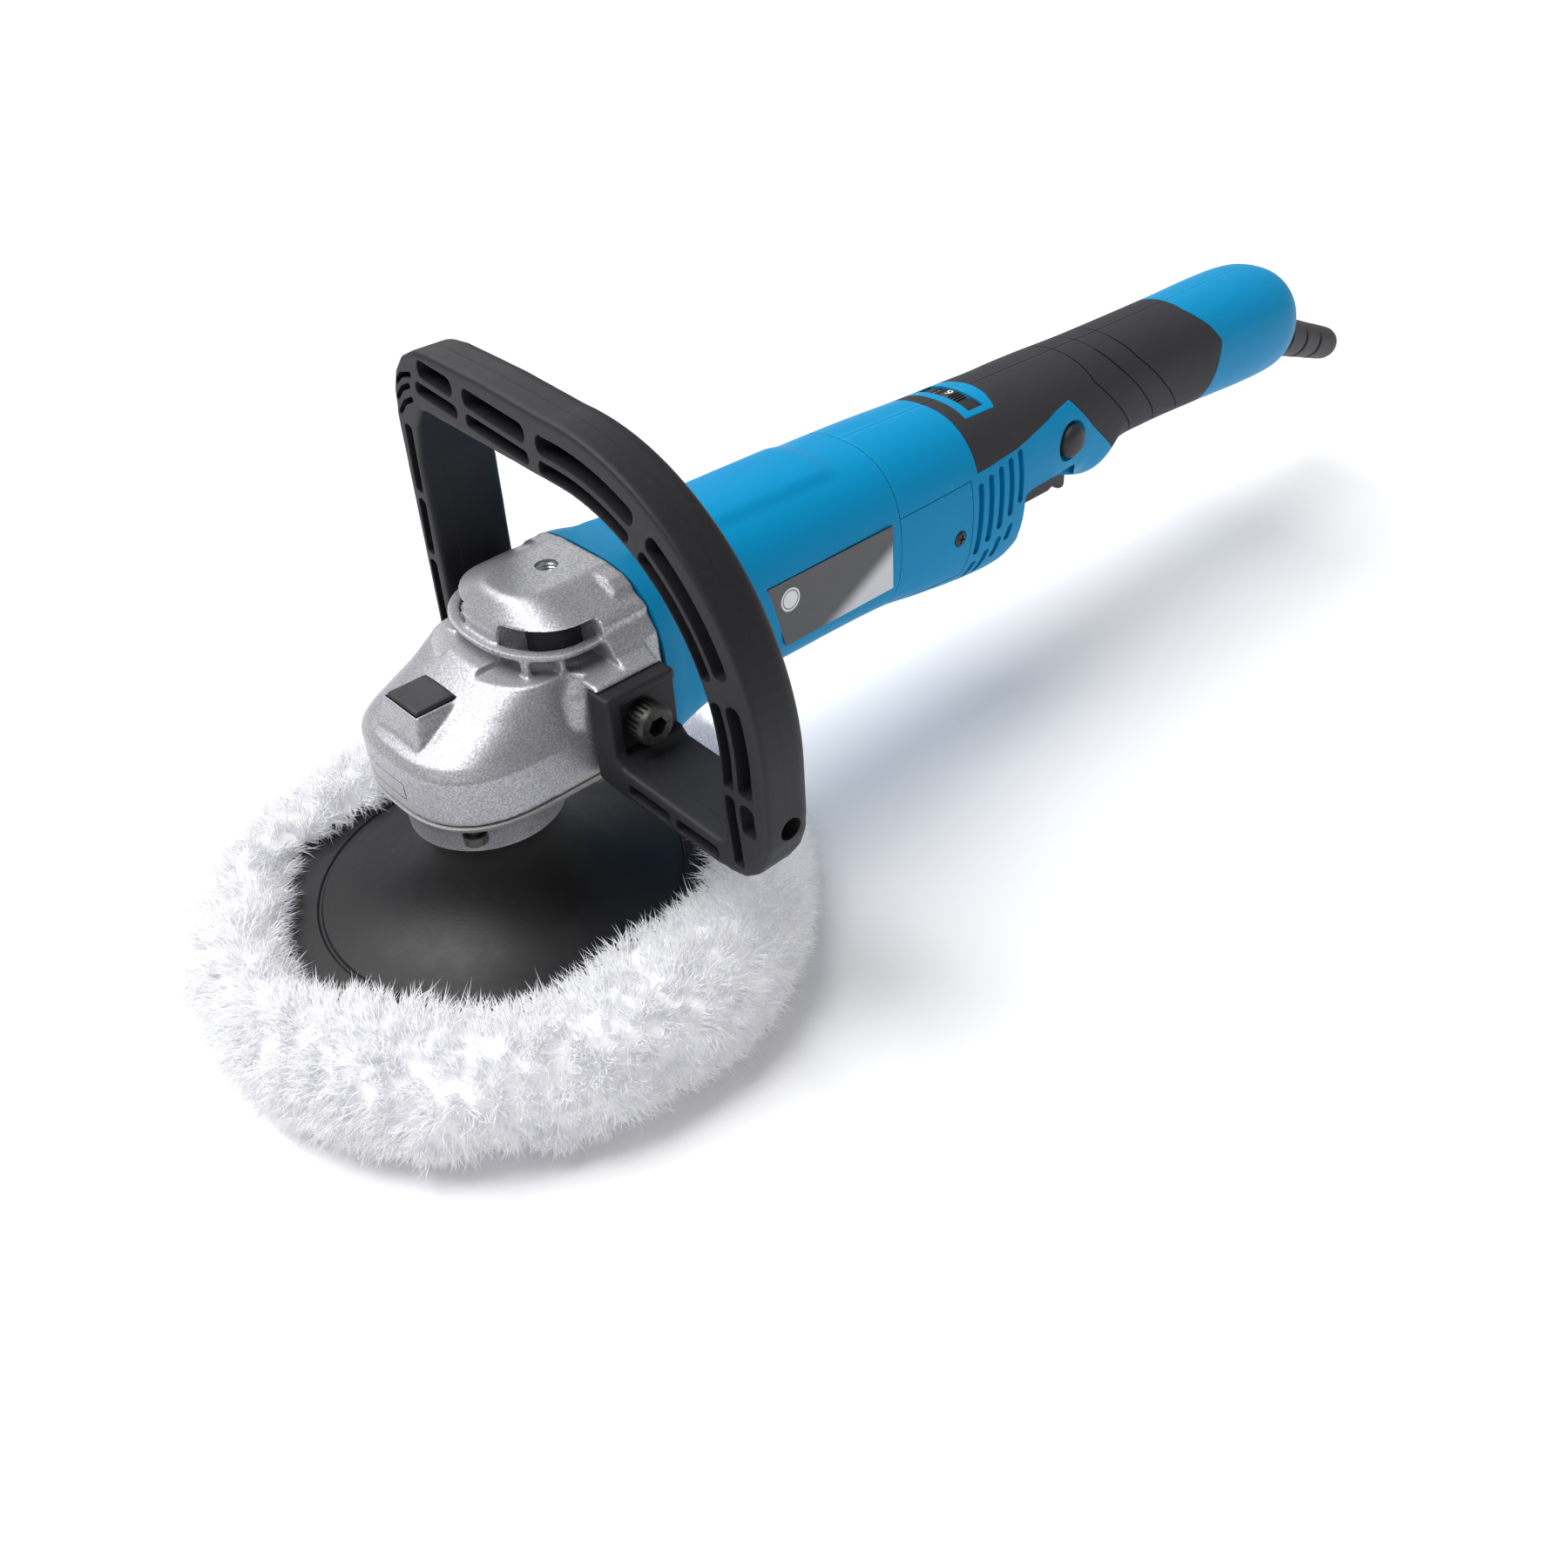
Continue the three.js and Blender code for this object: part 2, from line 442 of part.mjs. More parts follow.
const rearBlue = cut(
  join(rearShell, bulkhead, ...posts.map((post) => post.intersect(bodyForm(1, MID_SEAM_X + 1, 430)))),
  rod('x', 11.3, 187, 198.5, 28, 0, 0, MOTOR_Z),
  rimShell.intersect(gripZone(-GAP)),
  ...doorZone(GAP),
  ...vents,
  block(DIAL.x - 4.4, DIAL.x + 4.4, -13.4, 13.4, 111, 140),
  block(251, 291.5, -7.2, 7.2, 55, 84),
  rod('y', 1.6, -9, 9, 10, TRIGGER.pivotX, 0, TRIGGER.pivotZ),
  rod('y', LOCK_ON.radius + GAP, -40, -14, 20, LOCK_ON.x, 0, LOCK_ON.z),
  sleeveFrame(rod('x', 10.3, -14, 20, 24)),
  ...POSTS.map(([x, z]) => rod('y', 2.1, -10, 40, 10, x, 0, z)),
);
for (const [name, side] of SIDES) {
  const span = sideSpan(side, GAP / 2, 45);
  const halfSpace = block(MID_SEAM_X - 5, BODY_END + 5, ...span, 40, 140);
  add(`rear_housing_${name}`, rearBlue.intersect(halfSpace), LOOKS.blue());
  add(`grip_cover_${name}`, skinShell.intersect(gripZone(0)).intersect(halfSpace), LOOKS.rubber());
  const door = bodyForm(0, MID_SEAM_X + GAP / 2, 210).subtract(bodyForm(WALL, MID_SEAM_X - 2, 212))
    .intersect(block(MID_SEAM_X, DOOR.x1, ...sideSpan(side, DOOR.inner, 40), DOOR.z0, DOOR.z1));
  add(`brush_door_${name}`, cut(door, rod('y', 2, -40, 40, 12, 195, 0, 87)), LOOKS.blue());
  const screw = join(
    rod('y', 2.8, ...sideSpan(side, 30.4, 31.6), 14, 195, 0, 87),
    rod('y', 1.6, ...sideSpan(side, 27.9, 30.5), 10, 195, 0, 87),
  );
  add(`door_screw_${name}`, screw, LOOKS.blackSteel());
}
POSTS.forEach(([x, z], index) => {
  add(`housing_screw_${index + 1}`, rod('y', 1.8, -9.5, 20, 10, x, 0, z), LOOKS.blackSteel());
});

// ---- controls ----
add('switch_body', cut(
  block(262, 304, -7.5, 7.5, 88.5, 108),
  rod('y', 3.4, -8, -5.5, 14, LOCK_ON.x, 0, LOCK_ON.z),
), LOOKS.nylon());
const speedStub = rod('x', 2.5, DIAL.x - 3, DIAL.x + 7, 14, 0, 0, DIAL.z);
add('speed_module', join(block(DIAL.x + 6, 240, -12, 12, 96, 117), speedStub), look(0x1f5f3a, 0.6));
const RIBS = 20;
const dialRib = (k) => toSolid(new THREE.BoxGeometry(DIAL.width + 1, 0.9, 2).translate(0, 0, DIAL.radius)
  .rotateX(k * 2 * Math.PI / RIBS).translate(DIAL.x, 0, DIAL.z));
add('speed_dial', cut(
  rod('x', DIAL.radius, DIAL.x - DIAL.width / 2, DIAL.x + DIAL.width / 2, 20, 0, 0, DIAL.z),
  rod('x', 2.8, DIAL.x - 5, DIAL.x + 5, 14, 0, 0, DIAL.z),
  ...Array.from({ length: RIBS }, (_, k) => dialRib(k)),
), LOOKS.nylon());
const triggerSide = outline([
  [252, 79], [252, 69.5], [256, 67.2], [279, 67.2], [282, 69], [285, 66.4], [289, 65.2],
  [TRIGGER.rear, 68], [TRIGGER.rear, 78.5], [262, 81],
]);
add('trigger', cut(
  alongY(triggerSide, -TRIGGER.halfWidth, TRIGGER.halfWidth),
  rod('y', 1.6, -10, 10, 12, TRIGGER.pivotX, 0, TRIGGER.pivotZ),
), LOOKS.nylon());
add('trigger_pin', rod('y', 1.3, -8.4, 8.4, 12, TRIGGER.pivotX, 0, TRIGGER.pivotZ), LOOKS.steel());
add('lock_on_button', turned('y', [
  [0, -29.6], [4.5, -29], [LOCK_ON.radius, -27], [LOCK_ON.radius, -19], [2.8, -19], [2.8, -12], [0, -12],
], 22, LOCK_ON.x, 0, LOCK_ON.z), LOOKS.nylon());
const buttonTop = extruded(outline([
  [-BUTTON.length / 2, -BUTTON.width / 2], [BUTTON.length / 2, -BUTTON.width / 2],
  [BUTTON.length / 2, BUTTON.width / 2], [-BUTTON.length / 2, BUTTON.width / 2],
]), 3.2, 0.6).translate(BUTTON.x, 0, BUTTON.top - 3.2);
add('spindle_lock_button', toSolid(buttonTop), LOOKS.nylon());
add('lock_pin', rod('z', 1.4, 89.6, BUTTON.top - 3.5, 12, -LOCK_CIRCLE), LOOKS.steel());

// ---- backing pad, its threaded hub and the wool bonnet ----
add('pad_hub', turned('z', [
  [7.3, 12.3], [24, 12.3], [24, 15], [11, 16], [11, 55], [7.3, 55], [7.3, 12.3],
], 32), LOOKS.steel());
add('backing_pad', turned('z', [
  [11.3, 16.6], [24.3, 15.4], [24.3, 8], [PAD_RADIUS - 3, 8], [PAD_RADIUS, 11], [PAD_RADIUS, 20],
  [PAD_RADIUS - 4, 24], [76, 27.5], [62, 29], [61, 28.2], [60, 29.2], [46, 32], [34, 39], [26, 48],
  [21.5, 57], [11.3, 57], [11.3, 16.6],
], 32), LOOKS.nylon());
add('wool_bonnet', turned('z', [
  [0, 0], [90, 0], [100, 5], [105, 13], [BONNET_RADIUS, 22], [103, 31], [95, 38], [84, 41.5], [73, 40.5],
  [64, 32], [66, 29.4], [77, 28], [84.6, 24.7], [88.5, 20.3], [88.5, 10.8], [85.2, 7.6], [0, 7.6],
], 36), LOOKS.wool());

// ---- D-handle: two flat arms and a rounded bow, bolted to the gear case at both sides ----
const bow = { y: -37.2, z: 115.5, inner: 60, outer: 78.5 };
const bowShape = new THREE.Shape();
bowShape.moveTo(37.5, 172);
bowShape.quadraticCurveTo(36.5, 177.5, 24, 178.2);
bowShape.lineTo(bow.y, bow.z + bow.inner);
bowShape.absarc(bow.y, bow.z, bow.inner, Math.PI / 2, Math.PI, false);
bowShape.lineTo(bow.y - bow.inner, 86);
bowShape.lineTo(bow.y - bow.inner + 4, 76.8);
bowShape.quadraticCurveTo(-116, 76, bow.y - bow.outer, 98);
bowShape.lineTo(bow.y - bow.outer, bow.z);
bowShape.absarc(bow.y, bow.z, bow.outer, Math.PI, Math.PI / 2, true);
bowShape.lineTo(18, 197.5);
bowShape.quadraticCurveTo(41, 198.5, 42.5, 176);
const farArm = outline([[37, 84], [47, 84], [43, 174], [34.5, 182], [24, 182], [32, 172]]);
const nearArm = outline([[-36.8, 77.5], [-46.8, 76.5], [-94, 76], [-104, 84], [-98, 88], [-94, 84.6], [-50, 87],
  [-46.8, 90], [-46.8, 109.6], [-36.8, 109.6]]);
const boltHole = rod('y', 4.4, -60, 60, 16, BOLT.x, 0, BOLT.z);
add('d_handle', cut(
  join(
    alongX(bowShape, HANDLE_FRONT, HANDLE_FRONT + GRIP_DEPTH),
    alongX(farArm, HANDLE_FRONT, HANDLE_FRONT + ARM_DEPTH),
    alongX(nearArm, HANDLE_FRONT, HANDLE_FRONT + ARM_DEPTH),
  ),
  boltHole,
  rod('y', 3.4, -125, -108, 16, HANDLE_FRONT + GRIP_DEPTH / 2, 0, 95),
), LOOKS.nylon());
for (const [name, side] of SIDES) {
  const seat = side > 0 ? 47.4 : BOLT.faceY + GAP;
  add(`handle_bolt_${name}`, cut(
    join(rod('y', 6.6, ...sideSpan(side, seat, seat + 8), 20, BOLT.x, 0, BOLT.z),
      rod('y', 4, ...sideSpan(side, BOSS_DEPTH + 1, seat + 1), 16, BOLT.x, 0, BOLT.z)),
    rod('y', 3.4, ...sideSpan(side, seat + 4, seat + 9), 6, BOLT.x, 0, BOLT.z),
  ), LOOKS.blackSteel());
}

// ---- moulded sleeve that guides the mains lead out of the rear ----
add('cord_sleeve', sleeveFrame(turned('x', [
  [3.7, -12], [12.5, -12], [12.5, -9], [9.9, -9], [9.9, 16], [8.5, 42], [8, 76], [6.8, 80], [3.7, 81],
  [3.7, -12],
], 20)), LOOKS.nylon());

const group = new THREE.Group();
parts.forEach((mesh) => group.add(mesh));
export default group;
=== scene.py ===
from math import atan2, copysign, cos, degrees, pi, radians, sin
from random import Random

import bmesh
import bpy
from mathutils import Matrix, Vector, noise


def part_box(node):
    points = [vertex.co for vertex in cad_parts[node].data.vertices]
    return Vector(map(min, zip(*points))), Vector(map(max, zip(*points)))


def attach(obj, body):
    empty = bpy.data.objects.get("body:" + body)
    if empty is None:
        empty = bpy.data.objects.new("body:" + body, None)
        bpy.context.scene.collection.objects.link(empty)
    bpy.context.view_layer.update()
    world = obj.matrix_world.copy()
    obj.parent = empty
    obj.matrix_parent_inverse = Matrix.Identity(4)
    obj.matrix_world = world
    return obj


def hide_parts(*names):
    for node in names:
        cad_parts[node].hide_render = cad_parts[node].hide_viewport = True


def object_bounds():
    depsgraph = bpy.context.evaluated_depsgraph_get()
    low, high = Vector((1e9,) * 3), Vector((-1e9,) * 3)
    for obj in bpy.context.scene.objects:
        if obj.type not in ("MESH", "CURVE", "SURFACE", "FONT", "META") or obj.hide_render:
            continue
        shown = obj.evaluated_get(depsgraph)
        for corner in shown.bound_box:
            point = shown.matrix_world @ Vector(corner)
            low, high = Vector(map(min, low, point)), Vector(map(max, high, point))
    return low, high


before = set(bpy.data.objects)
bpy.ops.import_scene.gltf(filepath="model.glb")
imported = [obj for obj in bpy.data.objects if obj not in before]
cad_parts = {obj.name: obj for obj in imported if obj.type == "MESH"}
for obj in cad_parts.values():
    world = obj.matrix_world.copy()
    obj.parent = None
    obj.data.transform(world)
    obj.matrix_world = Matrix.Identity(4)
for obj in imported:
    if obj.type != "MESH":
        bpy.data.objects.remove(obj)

cad_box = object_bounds()

# Studio: a plain white floor that the bonnet stands on, under an even light from above, with a small soft
# light over the nose and one from the far side. The camera looks down on the left side of the head.


class Reading:
    """A number that varies over a surface. Python's operators on it add Math nodes."""

    def __init__(self, finish, socket):
        self.finish = finish
        self.socket = socket

    def joined(self, operation, first, second):
        made = self.finish.node("ShaderNodeMath", {"operation": operation}, {0: first, 1: second})
        return Reading(self.finish, made.outputs[0])

    def __add__(self, other):
        return self.joined("ADD", self, other)

    def __sub__(self, other):
        return self.joined("SUBTRACT", self, other)

    def __rsub__(self, other):
        return self.joined("SUBTRACT", other, self)

    def __mul__(self, other):
        return self.joined("MULTIPLY", self, other)

    def __pow__(self, other):
        return self.joined("POWER", self, other)

    def __abs__(self):
        return self.joined("ABSOLUTE", self, 0.0)

    __radd__ = __add__
    __rmul__ = __mul__


def node_in(tree, kind, settings, sockets):
    """Any node: its settings first, then the values or links of its sockets."""
    made = tree.nodes.new(kind)
    for setting, value in settings.items():
        setattr(made, setting, value)
    for socket, value in sockets.items():
        value = value.socket if isinstance(value, Reading) else value
        if isinstance(value, bpy.types.NodeSocket):
            tree.links.new(value, made.inputs[socket])
        else:
            made.inputs[socket].default_value = value
    return made


class Finish:
    """One procedural finish: a Principled shader and the nodes that vary it over the surface."""

    def __init__(self, name, fixed):
        self.material = bpy.data.materials.new(name)
        self.material.use_nodes = True
        self.tree = self.material.node_tree
        self.shader = self.tree.nodes["Principled BSDF"]
        for socket, value in fixed.items():
            self.shader.inputs[socket].default_value = value
        self.place = self.node("ShaderNodeTexCoord", {}, {}).outputs["Object"]

    def node(self, kind, settings, sockets):
        return node_in(self.tree, kind, settings, sockets)

    def grain(self, size, detail=2.0, stretch=(1, 1, 1)):
        """Random patches about as large as size, in metres, from 0 to 1."""
        place = self.node("ShaderNodeMapping", {}, {"Vector": self.place, "Scale": stretch}).outputs[0]
        made = self.node("ShaderNodeTexNoise", {}, {"Vector": place, "Scale": 0.6 / size, "Detail": detail})
        return Reading(self, made.outputs[0])

    def between(self, reading, low, high):
        """0 up to low, 1 from high on, smooth between them."""
        sockets = {"Value": reading, "From Min": low, "From Max": high}
        made = self.node("ShaderNodeMapRange", {"interpolation_type": "SMOOTHSTEP"}, sockets)
        return Reading(self, made.outputs[0])

    def where(self, axis):
        """The place along one axis of the frame, in metres."""
        parts = self.node("ShaderNodeSeparateXYZ", {}, {0: self.place})
        return Reading(self, parts.outputs[axis])

    def worn(self):
        """1 on outer edges, 0 on flats and in hollows; lighter paint there is partly wear, partly a painted
        highlight.
        """
        shape = self.node("ShaderNodeNewGeometry", {}, {})
        return self.between(Reading(self, shape.outputs["Pointiness"]), 0.52, 0.62)

    def mixed(self, factor, first, second):
        """A colour from first, at factor 0, to second, at factor 1."""
        return self.node("ShaderNodeMix", {"data_type": "RGBA"}, {0: factor, 6: first, 7: second}).outputs[2]

    def paint(self, socket, value):
        value = value.socket if isinstance(value, Reading) else value
        self.tree.links.new(value, self.shader.inputs[socket])

    def look(self, factor, first, second, roughness):
        """Its colour, from first at factor 0 to second at factor 1, and its roughness."""
        self.paint("Base Color", self.mixed(factor, shade(*first), shade(*second)))
        self.paint("Roughness", roughness)

    def relief(self, height, depth, rounding=0.0):
        """Bumps of that depth in metres, on edges that catch light as if rounded to that radius."""
        sockets = {"Height": height, "Distance": depth}
        if rounding:
            sockets["Normal"] = self.node("ShaderNodeBevel", {"samples": 4}, {"Radius": rounding}).outputs[0]
        self.paint("Normal", self.node("ShaderNodeBump", {}, sockets).outputs[0])


def shade(red, green, blue):
    """A colour given as it looks on a display, 0 to 255, as the shader's linear numbers."""
    linear = [(value / 255 / 12.92) if value < 11 else ((value / 255 + 0.055) / 1.055) ** 2.4
              for value in (red, green, blue)]
    return (*linear, 1.0)


def coated(finish, *pieces):
    """Gives pieces, or CAD nodes by their names, one finish."""
    for piece in pieces:
        mesh = (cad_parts[piece] if isinstance(piece, str) else piece).data
        mesh.materials.clear()
        mesh.materials.append(finish.material)


studio_white = Finish("studio_white", {"Roughness": 0.9})
floor_shade = studio_white.mixed(studio_white.grain(0.4), shade(246, 246, 248), shade(251, 251, 252))
studio_white.paint("Base Color", floor_shade)

FLOOR_HALF = 5.0
floor_form = bmesh.new()
bmesh.ops.create_grid(floor_form, x_segments=1, y_segments=1, size=FLOOR_HALF)
floor_mesh = bpy.data.meshes.new("studio_floor")
floor_form.to_mesh(floor_mesh)
floor_form.free()
floor = bpy.data.objects.new("studio_floor", floor_mesh)
floor.location.z = cad_box[0][2] - 0.0005
bpy.context.collection.objects.link(floor)
coated(studio_white, floor)

AIR_STRENGTH = 0.36
SKY_STRENGTH = 2.75
SKY_SPREAD = radians(50)
SKY_FROM = (-0.28, 0.42, 1)
world = bpy.data.worlds.new("studio_air")
world.use_nodes = True
world.node_tree.nodes["Background"].inputs["Color"].default_value = (1, 1, 1, 1)
world.node_tree.nodes["Background"].inputs["Strength"].default_value = AIR_STRENGTH
bpy.context.scene.world = world
bpy.context.scene.view_settings.view_transform = "Standard"


def soft_light(name, place, aim, span, power):
    light = bpy.data.lights.new(name, "AREA")
    light.shape = "DISK"
    light.size = span
    light.energy = power
    lamp = bpy.data.objects.new(name, light)
    lamp.rotation_euler = (Vector(aim) - Vector(place)).to_track_quat("-Z", "Y").to_euler()
    lamp.location = place
    bpy.context.collection.objects.link(lamp)


sky = bpy.data.lights.new("sky_panel", "SUN")
sky.energy = SKY_STRENGTH
sky.angle = SKY_SPREAD
sky_lamp = bpy.data.objects.new("sky_panel", sky)
sky_lamp.rotation_euler = Vector(SKY_FROM).to_track_quat("Z", "Y").to_euler()
bpy.context.collection.objects.link(sky_lamp)
soft_light("light_over_nose", (-0.5, 0.05, 1.2), (0.08, 0, 0.08), 0.5, 3.5)
soft_light("light_far_side", (0.5, 1.1, 0.9), (0.15, 0, 0.08), 0.6, 2)

CAMERA_TURN = radians(-40.94)
CAMERA_RISE = radians(37.94)
CAMERA_ROLL = radians(-3.59)
CAMERA_AIM = Vector((0.127, 0.0, -0.006))
CAMERA_DISTANCE = 0.5577
back = Vector((sin(CAMERA_TURN) * cos(CAMERA_RISE), -cos(CAMERA_TURN) * cos(CAMERA_RISE), sin(CAMERA_RISE)))
camera = bpy.data.objects.new("camera", bpy.data.cameras.new("camera"))
camera.data.lens = 32
camera.data.sensor_width = 36
camera.data.clip_start = 0.01
camera.location = CAMERA_AIM + back * CAMERA_DISTANCE
facing = back.to_track_quat("Z", "Y").to_matrix() @ Matrix.Rotation(CAMERA_ROLL, 3, "Z")
camera.rotation_euler = facing.to_euler()
bpy.context.collection.objects.link(camera)
bpy.context.scene.camera = camera

# Drive train: ground steel spindle, bevel ring gear and pinion, armature shaft and ball bearings, all
# turned or cut from bar. They are pressed together inside the gear case and carry a film of grease.

ground_steel = Finish("ground_steel", {"Metallic": 1.0})
lathe_marks = ground_steel.grain(0.0004, 3.0)
stains = ground_steel.between(ground_steel.grain(0.008, 4.0), 0.45, 0.7)
ground_steel.look(stains, (196, 198, 202), (150, 146, 138), 0.24 + 0.14 * lathe_marks + 0.12 * stains)
ground_steel.relief(lathe_marks, 0.00005)
coated(ground_steel, "spindle", "ring_gear", "bevel_pinion", "armature_shaft", "spindle_bearing_lower",
       "spindle_bearing_upper", "front_bearing", "rear_bearing", "trigger_pin", "lock_pin", "pad_hub")

# Motor: stacked silicon-steel plates for stator and armature, enamelled copper coils, a copper
# commutator, carbon brushes in brass boxes, and a black nylon fan with its baffle.

plates = Finish("stacked_plates", {"Metallic": 0.9})
MOTOR_PLATE = 0.0005
stack = plates.node("ShaderNodeTexWave", {"bands_direction": "X"},
                    {"Vector": plates.place, "Scale": 0.05 / MOTOR_PLATE, "Distortion": 0.4})
stack_lines = Reading(plates, stack.outputs[1])
plates.look(stack_lines, (86, 88, 92), (132, 133, 136), 0.42 + 0.16 * plates.grain(0.002))
plates.relief(stack_lines, 0.0001)
coated(plates, "stator_core", "armature_core")

winding = Finish("enamelled_copper", {"Metallic": 0.85, "Coat Weight": 0.5})
strands = winding.grain(0.0006, 1.0, (0.1, 1, 1))
winding.look(strands, (148, 74, 38), (206, 124, 74), 0.3 + 0.15 * strands)
winding.relief(strands, 0.0003)
coated(winding, "field_coil_upper", "field_coil_lower", "commutator")


def grained(name, fixed, grain, first, second, rough, relief=None, share=1, wear=0):
    """A finish of one grain, given as (size, detail). The colour goes from first to second by a share of the
    grain and of the edge mask, lighter on edges for wear and as a painted highlight, and rough is the (least,
    gain) of the roughness."""
    made = Finish(name, fixed)
    speck = made.grain(*grain)
    # wear is the share of the lighter edge colour: partly wear, partly a painted highlight.
    factor = share * speck + wear * made.worn() if wear else speck
    made.look(factor, first, second, rough[0] + rough[1] * speck)
    if relief:
        made.relief(speck, *relief)
    return made


brass = grained("brush_brass", {"Metallic": 1.0}, (0.003, 4.0), (196, 158, 84), (150, 112, 58), (0.28, 0.2))
carbon = grained("brush_carbon", {}, (0.0003, 3.0), (34, 34, 36), (58, 58, 60), (0.6, 0.2), (0.0001,))
coated(brass, "brush_holder_left", "brush_holder_right")
coated(carbon, "carbon_brush_left", "carbon_brush_right")

moulded_nylon = Finish("moulded_nylon", {"Specular IOR Level": 0.5})
fibre = moulded_nylon.grain(0.0005, 3.0)
bloom = moulded_nylon.grain(0.03, 3.0)
# The colour lightens on outer edges: partly wear, partly a painted highlight.
moulded_nylon.look(0.6 * fibre + 0.5 * moulded_nylon.worn(), (24, 24, 27), (46, 46, 50),
                   0.38 + 0.14 * fibre + 0.12 * bloom)
moulded_nylon.relief(fibre, 0.00006, 0.0005)
coated(moulded_nylon, "cooling_fan", "fan_baffle", "switch_body")

circuit = Finish("circuit_board", {"Coat Weight": 0.6})
solder = circuit.between(circuit.grain(0.002, 2.0), 0.55, 0.6)
circuit.look(solder, (24, 84, 46), (168, 170, 166), 0.35 + 0.2 * solder)
coated(circuit, "speed_module")

# Gear case: one aluminium die casting, painted with coarse silver lacquer. A round dome with a louvred air
# mouth at each side, lined at the back with a thin black sheet as painted shade, stands behind a sloping nose
# with the raised seat of the button.

MM = 0.001
SEAM_X = 50.7


def loft(rings):
    """A closed form through rings of points that all have as many points."""
    form = bmesh.new()
    first = form.faces.new([form.verts.new(point) for point in rings[0]])
    cap = first
    for ring in rings[1:]:
        pushed = bmesh.ops.extrude_face_region(form, geom=[cap])
        moved = next(item for item in pushed["geom"] if isinstance(item, bmesh.types.BMFace))
        for corner, point in zip(moved.verts, ring):
            corner.co = point
        if cap is not first:
            form.faces.remove(cap)
        cap = moved
    bmesh.ops.recalc_face_normals(form, faces=form.faces)
    return form


def prism(outline, axis, start, end):
    """An outline pushed along an axis: (x, y) up Z, (x, z) along Y, (y, z) along X."""
    lift = {"X": lambda u, v, w: (w, u, v), "Y": lambda u, v, w: (u, w, v), "Z": lambda u, v, w: (u, v, w)}
    return loft([[lift[axis](u, v, station) for u, v in outline] for station in (start, end)])


def block(corner, opposite):
    """A box between two opposite corners, whichever way they are given."""
    low, high = zip(*(sorted(pair) for pair in zip(corner, opposite)))
    corners = [(low[0], low[1]), (high[0], low[1]), (high[0], high[1]), (low[0], high[1])]
    return prism(corners, "Z", low[2], high[2])


def turned(profile, steps, direction=(0, 0, 1), place=(0, 0, 0)):
    """A profile of (radius, height) points spun round, its axis then laid along a direction from a place."""
    form = bmesh.new()
    points = [form.verts.new((radius, 0, height)) for radius, height in profile]
    lines = [form.edges.new(pair) for pair in zip(points, points[1:])]
    bmesh.ops.spin(form, geom=points + lines, cent=(0, 0, 0), axis=(0, 0, 1), angle=2 * pi, steps=steps,
                   use_merge=True)
    bmesh.ops.remove_doubles(form, verts=form.verts, dist=0.0001)
    turn = Vector((0, 0, 1)).rotation_difference(Vector(direction)).to_matrix().to_4x4()
    bmesh.ops.transform(form, matrix=Matrix.Translation(place) @ turn, verts=form.verts)
    bmesh.ops.recalc_face_normals(form, faces=form.faces)
    return form


def rod(radius, start, end, steps, direction=(0, 0, 1), place=(0, 0, 0)):
    return turned([(0, start), (radius, start), (radius, end), (0, end)], steps, direction, place)


def piece_of(name, form):
    mesh = bpy.data.meshes.new(name)
    form.to_mesh(mesh)
    form.free()
    piece = bpy.data.objects.new(name, mesh)
    bpy.context.collection.objects.link(piece)
    return piece


def form_of(piece):
    """A piece's shape as a form again; the piece itself goes."""
    form = bmesh.new()
    form.from_mesh(piece.data)
    bpy.data.objects.remove(piece)
    return form


def heap(name, forms):
    """One piece of several forms that overlap, for cast() to melt together."""
    together = bmesh.new()
    for form in forms:
        mesh = bpy.data.meshes.new("form")
        form.to_mesh(mesh)
        form.free()
        together.from_mesh(mesh)
        bpy.data.meshes.remove(mesh)
    return piece_of(name, together)


def settled(piece):
    """Makes the result of a piece's modifiers its own mesh."""
    view = bpy.context.evaluated_depsgraph_get()
    mesh = bpy.data.meshes.new_from_object(piece.evaluated_get(view))
    piece.modifiers.clear()
    piece.data = mesh


def carve(piece, form, operation="DIFFERENCE"):
    tool = piece_of("tool", form)
    change = piece.modifiers.new("carve", "BOOLEAN")
    change.operation = operation
    change.solver = "EXACT"
    change.object = tool
    settled(piece)
    bpy.data.objects.remove(tool)


def cast(piece, grid, passes):
    """Melts a piece's forms together as a casting: evenly meshed, then its edges worn round."""
    melt = piece.modifiers.new("melt", "REMESH")
    melt.mode = "VOXEL"
    melt.voxel_size = grid
    if passes:
        wear = piece.modifiers.new("wear", "SMOOTH")
        wear.factor = 0.5
        wear.iterations = passes
    settled(piece)


def fitted(piece, finish, slot, *nodes, body="tool_body", sharp=32):
    """Takes a piece from millimetres to metres, coats it and fixes it to its body in place of CAD nodes."""
    piece.data.transform(Matrix.Scale(MM, 4))
    coated(finish, piece)
    piece.data.shade_smooth()
    piece.data.set_sharp_from_angle(angle=radians(sharp))
    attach(piece, body)
    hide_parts(*nodes)


def plan_ring(height, front, half, square, bend, rear=SEAM_X):
    """A level outline: straight sides from the rear to bend, then a rounded nose out to front."""
    steps = 40
    ring = [(rear, -half, height)]
    for step in range(steps + 1):
        angle = pi * step / steps - pi / 2
        along = cos(angle) ** (2 / square) if 0 < step < steps else 0
        across = abs(sin(angle)) ** (2 / square) * (1 if angle > 0 else -1)
        ring.append((bend - (bend - front) * along, half * across, height))
    ring.append((rear, half, height))
    return ring


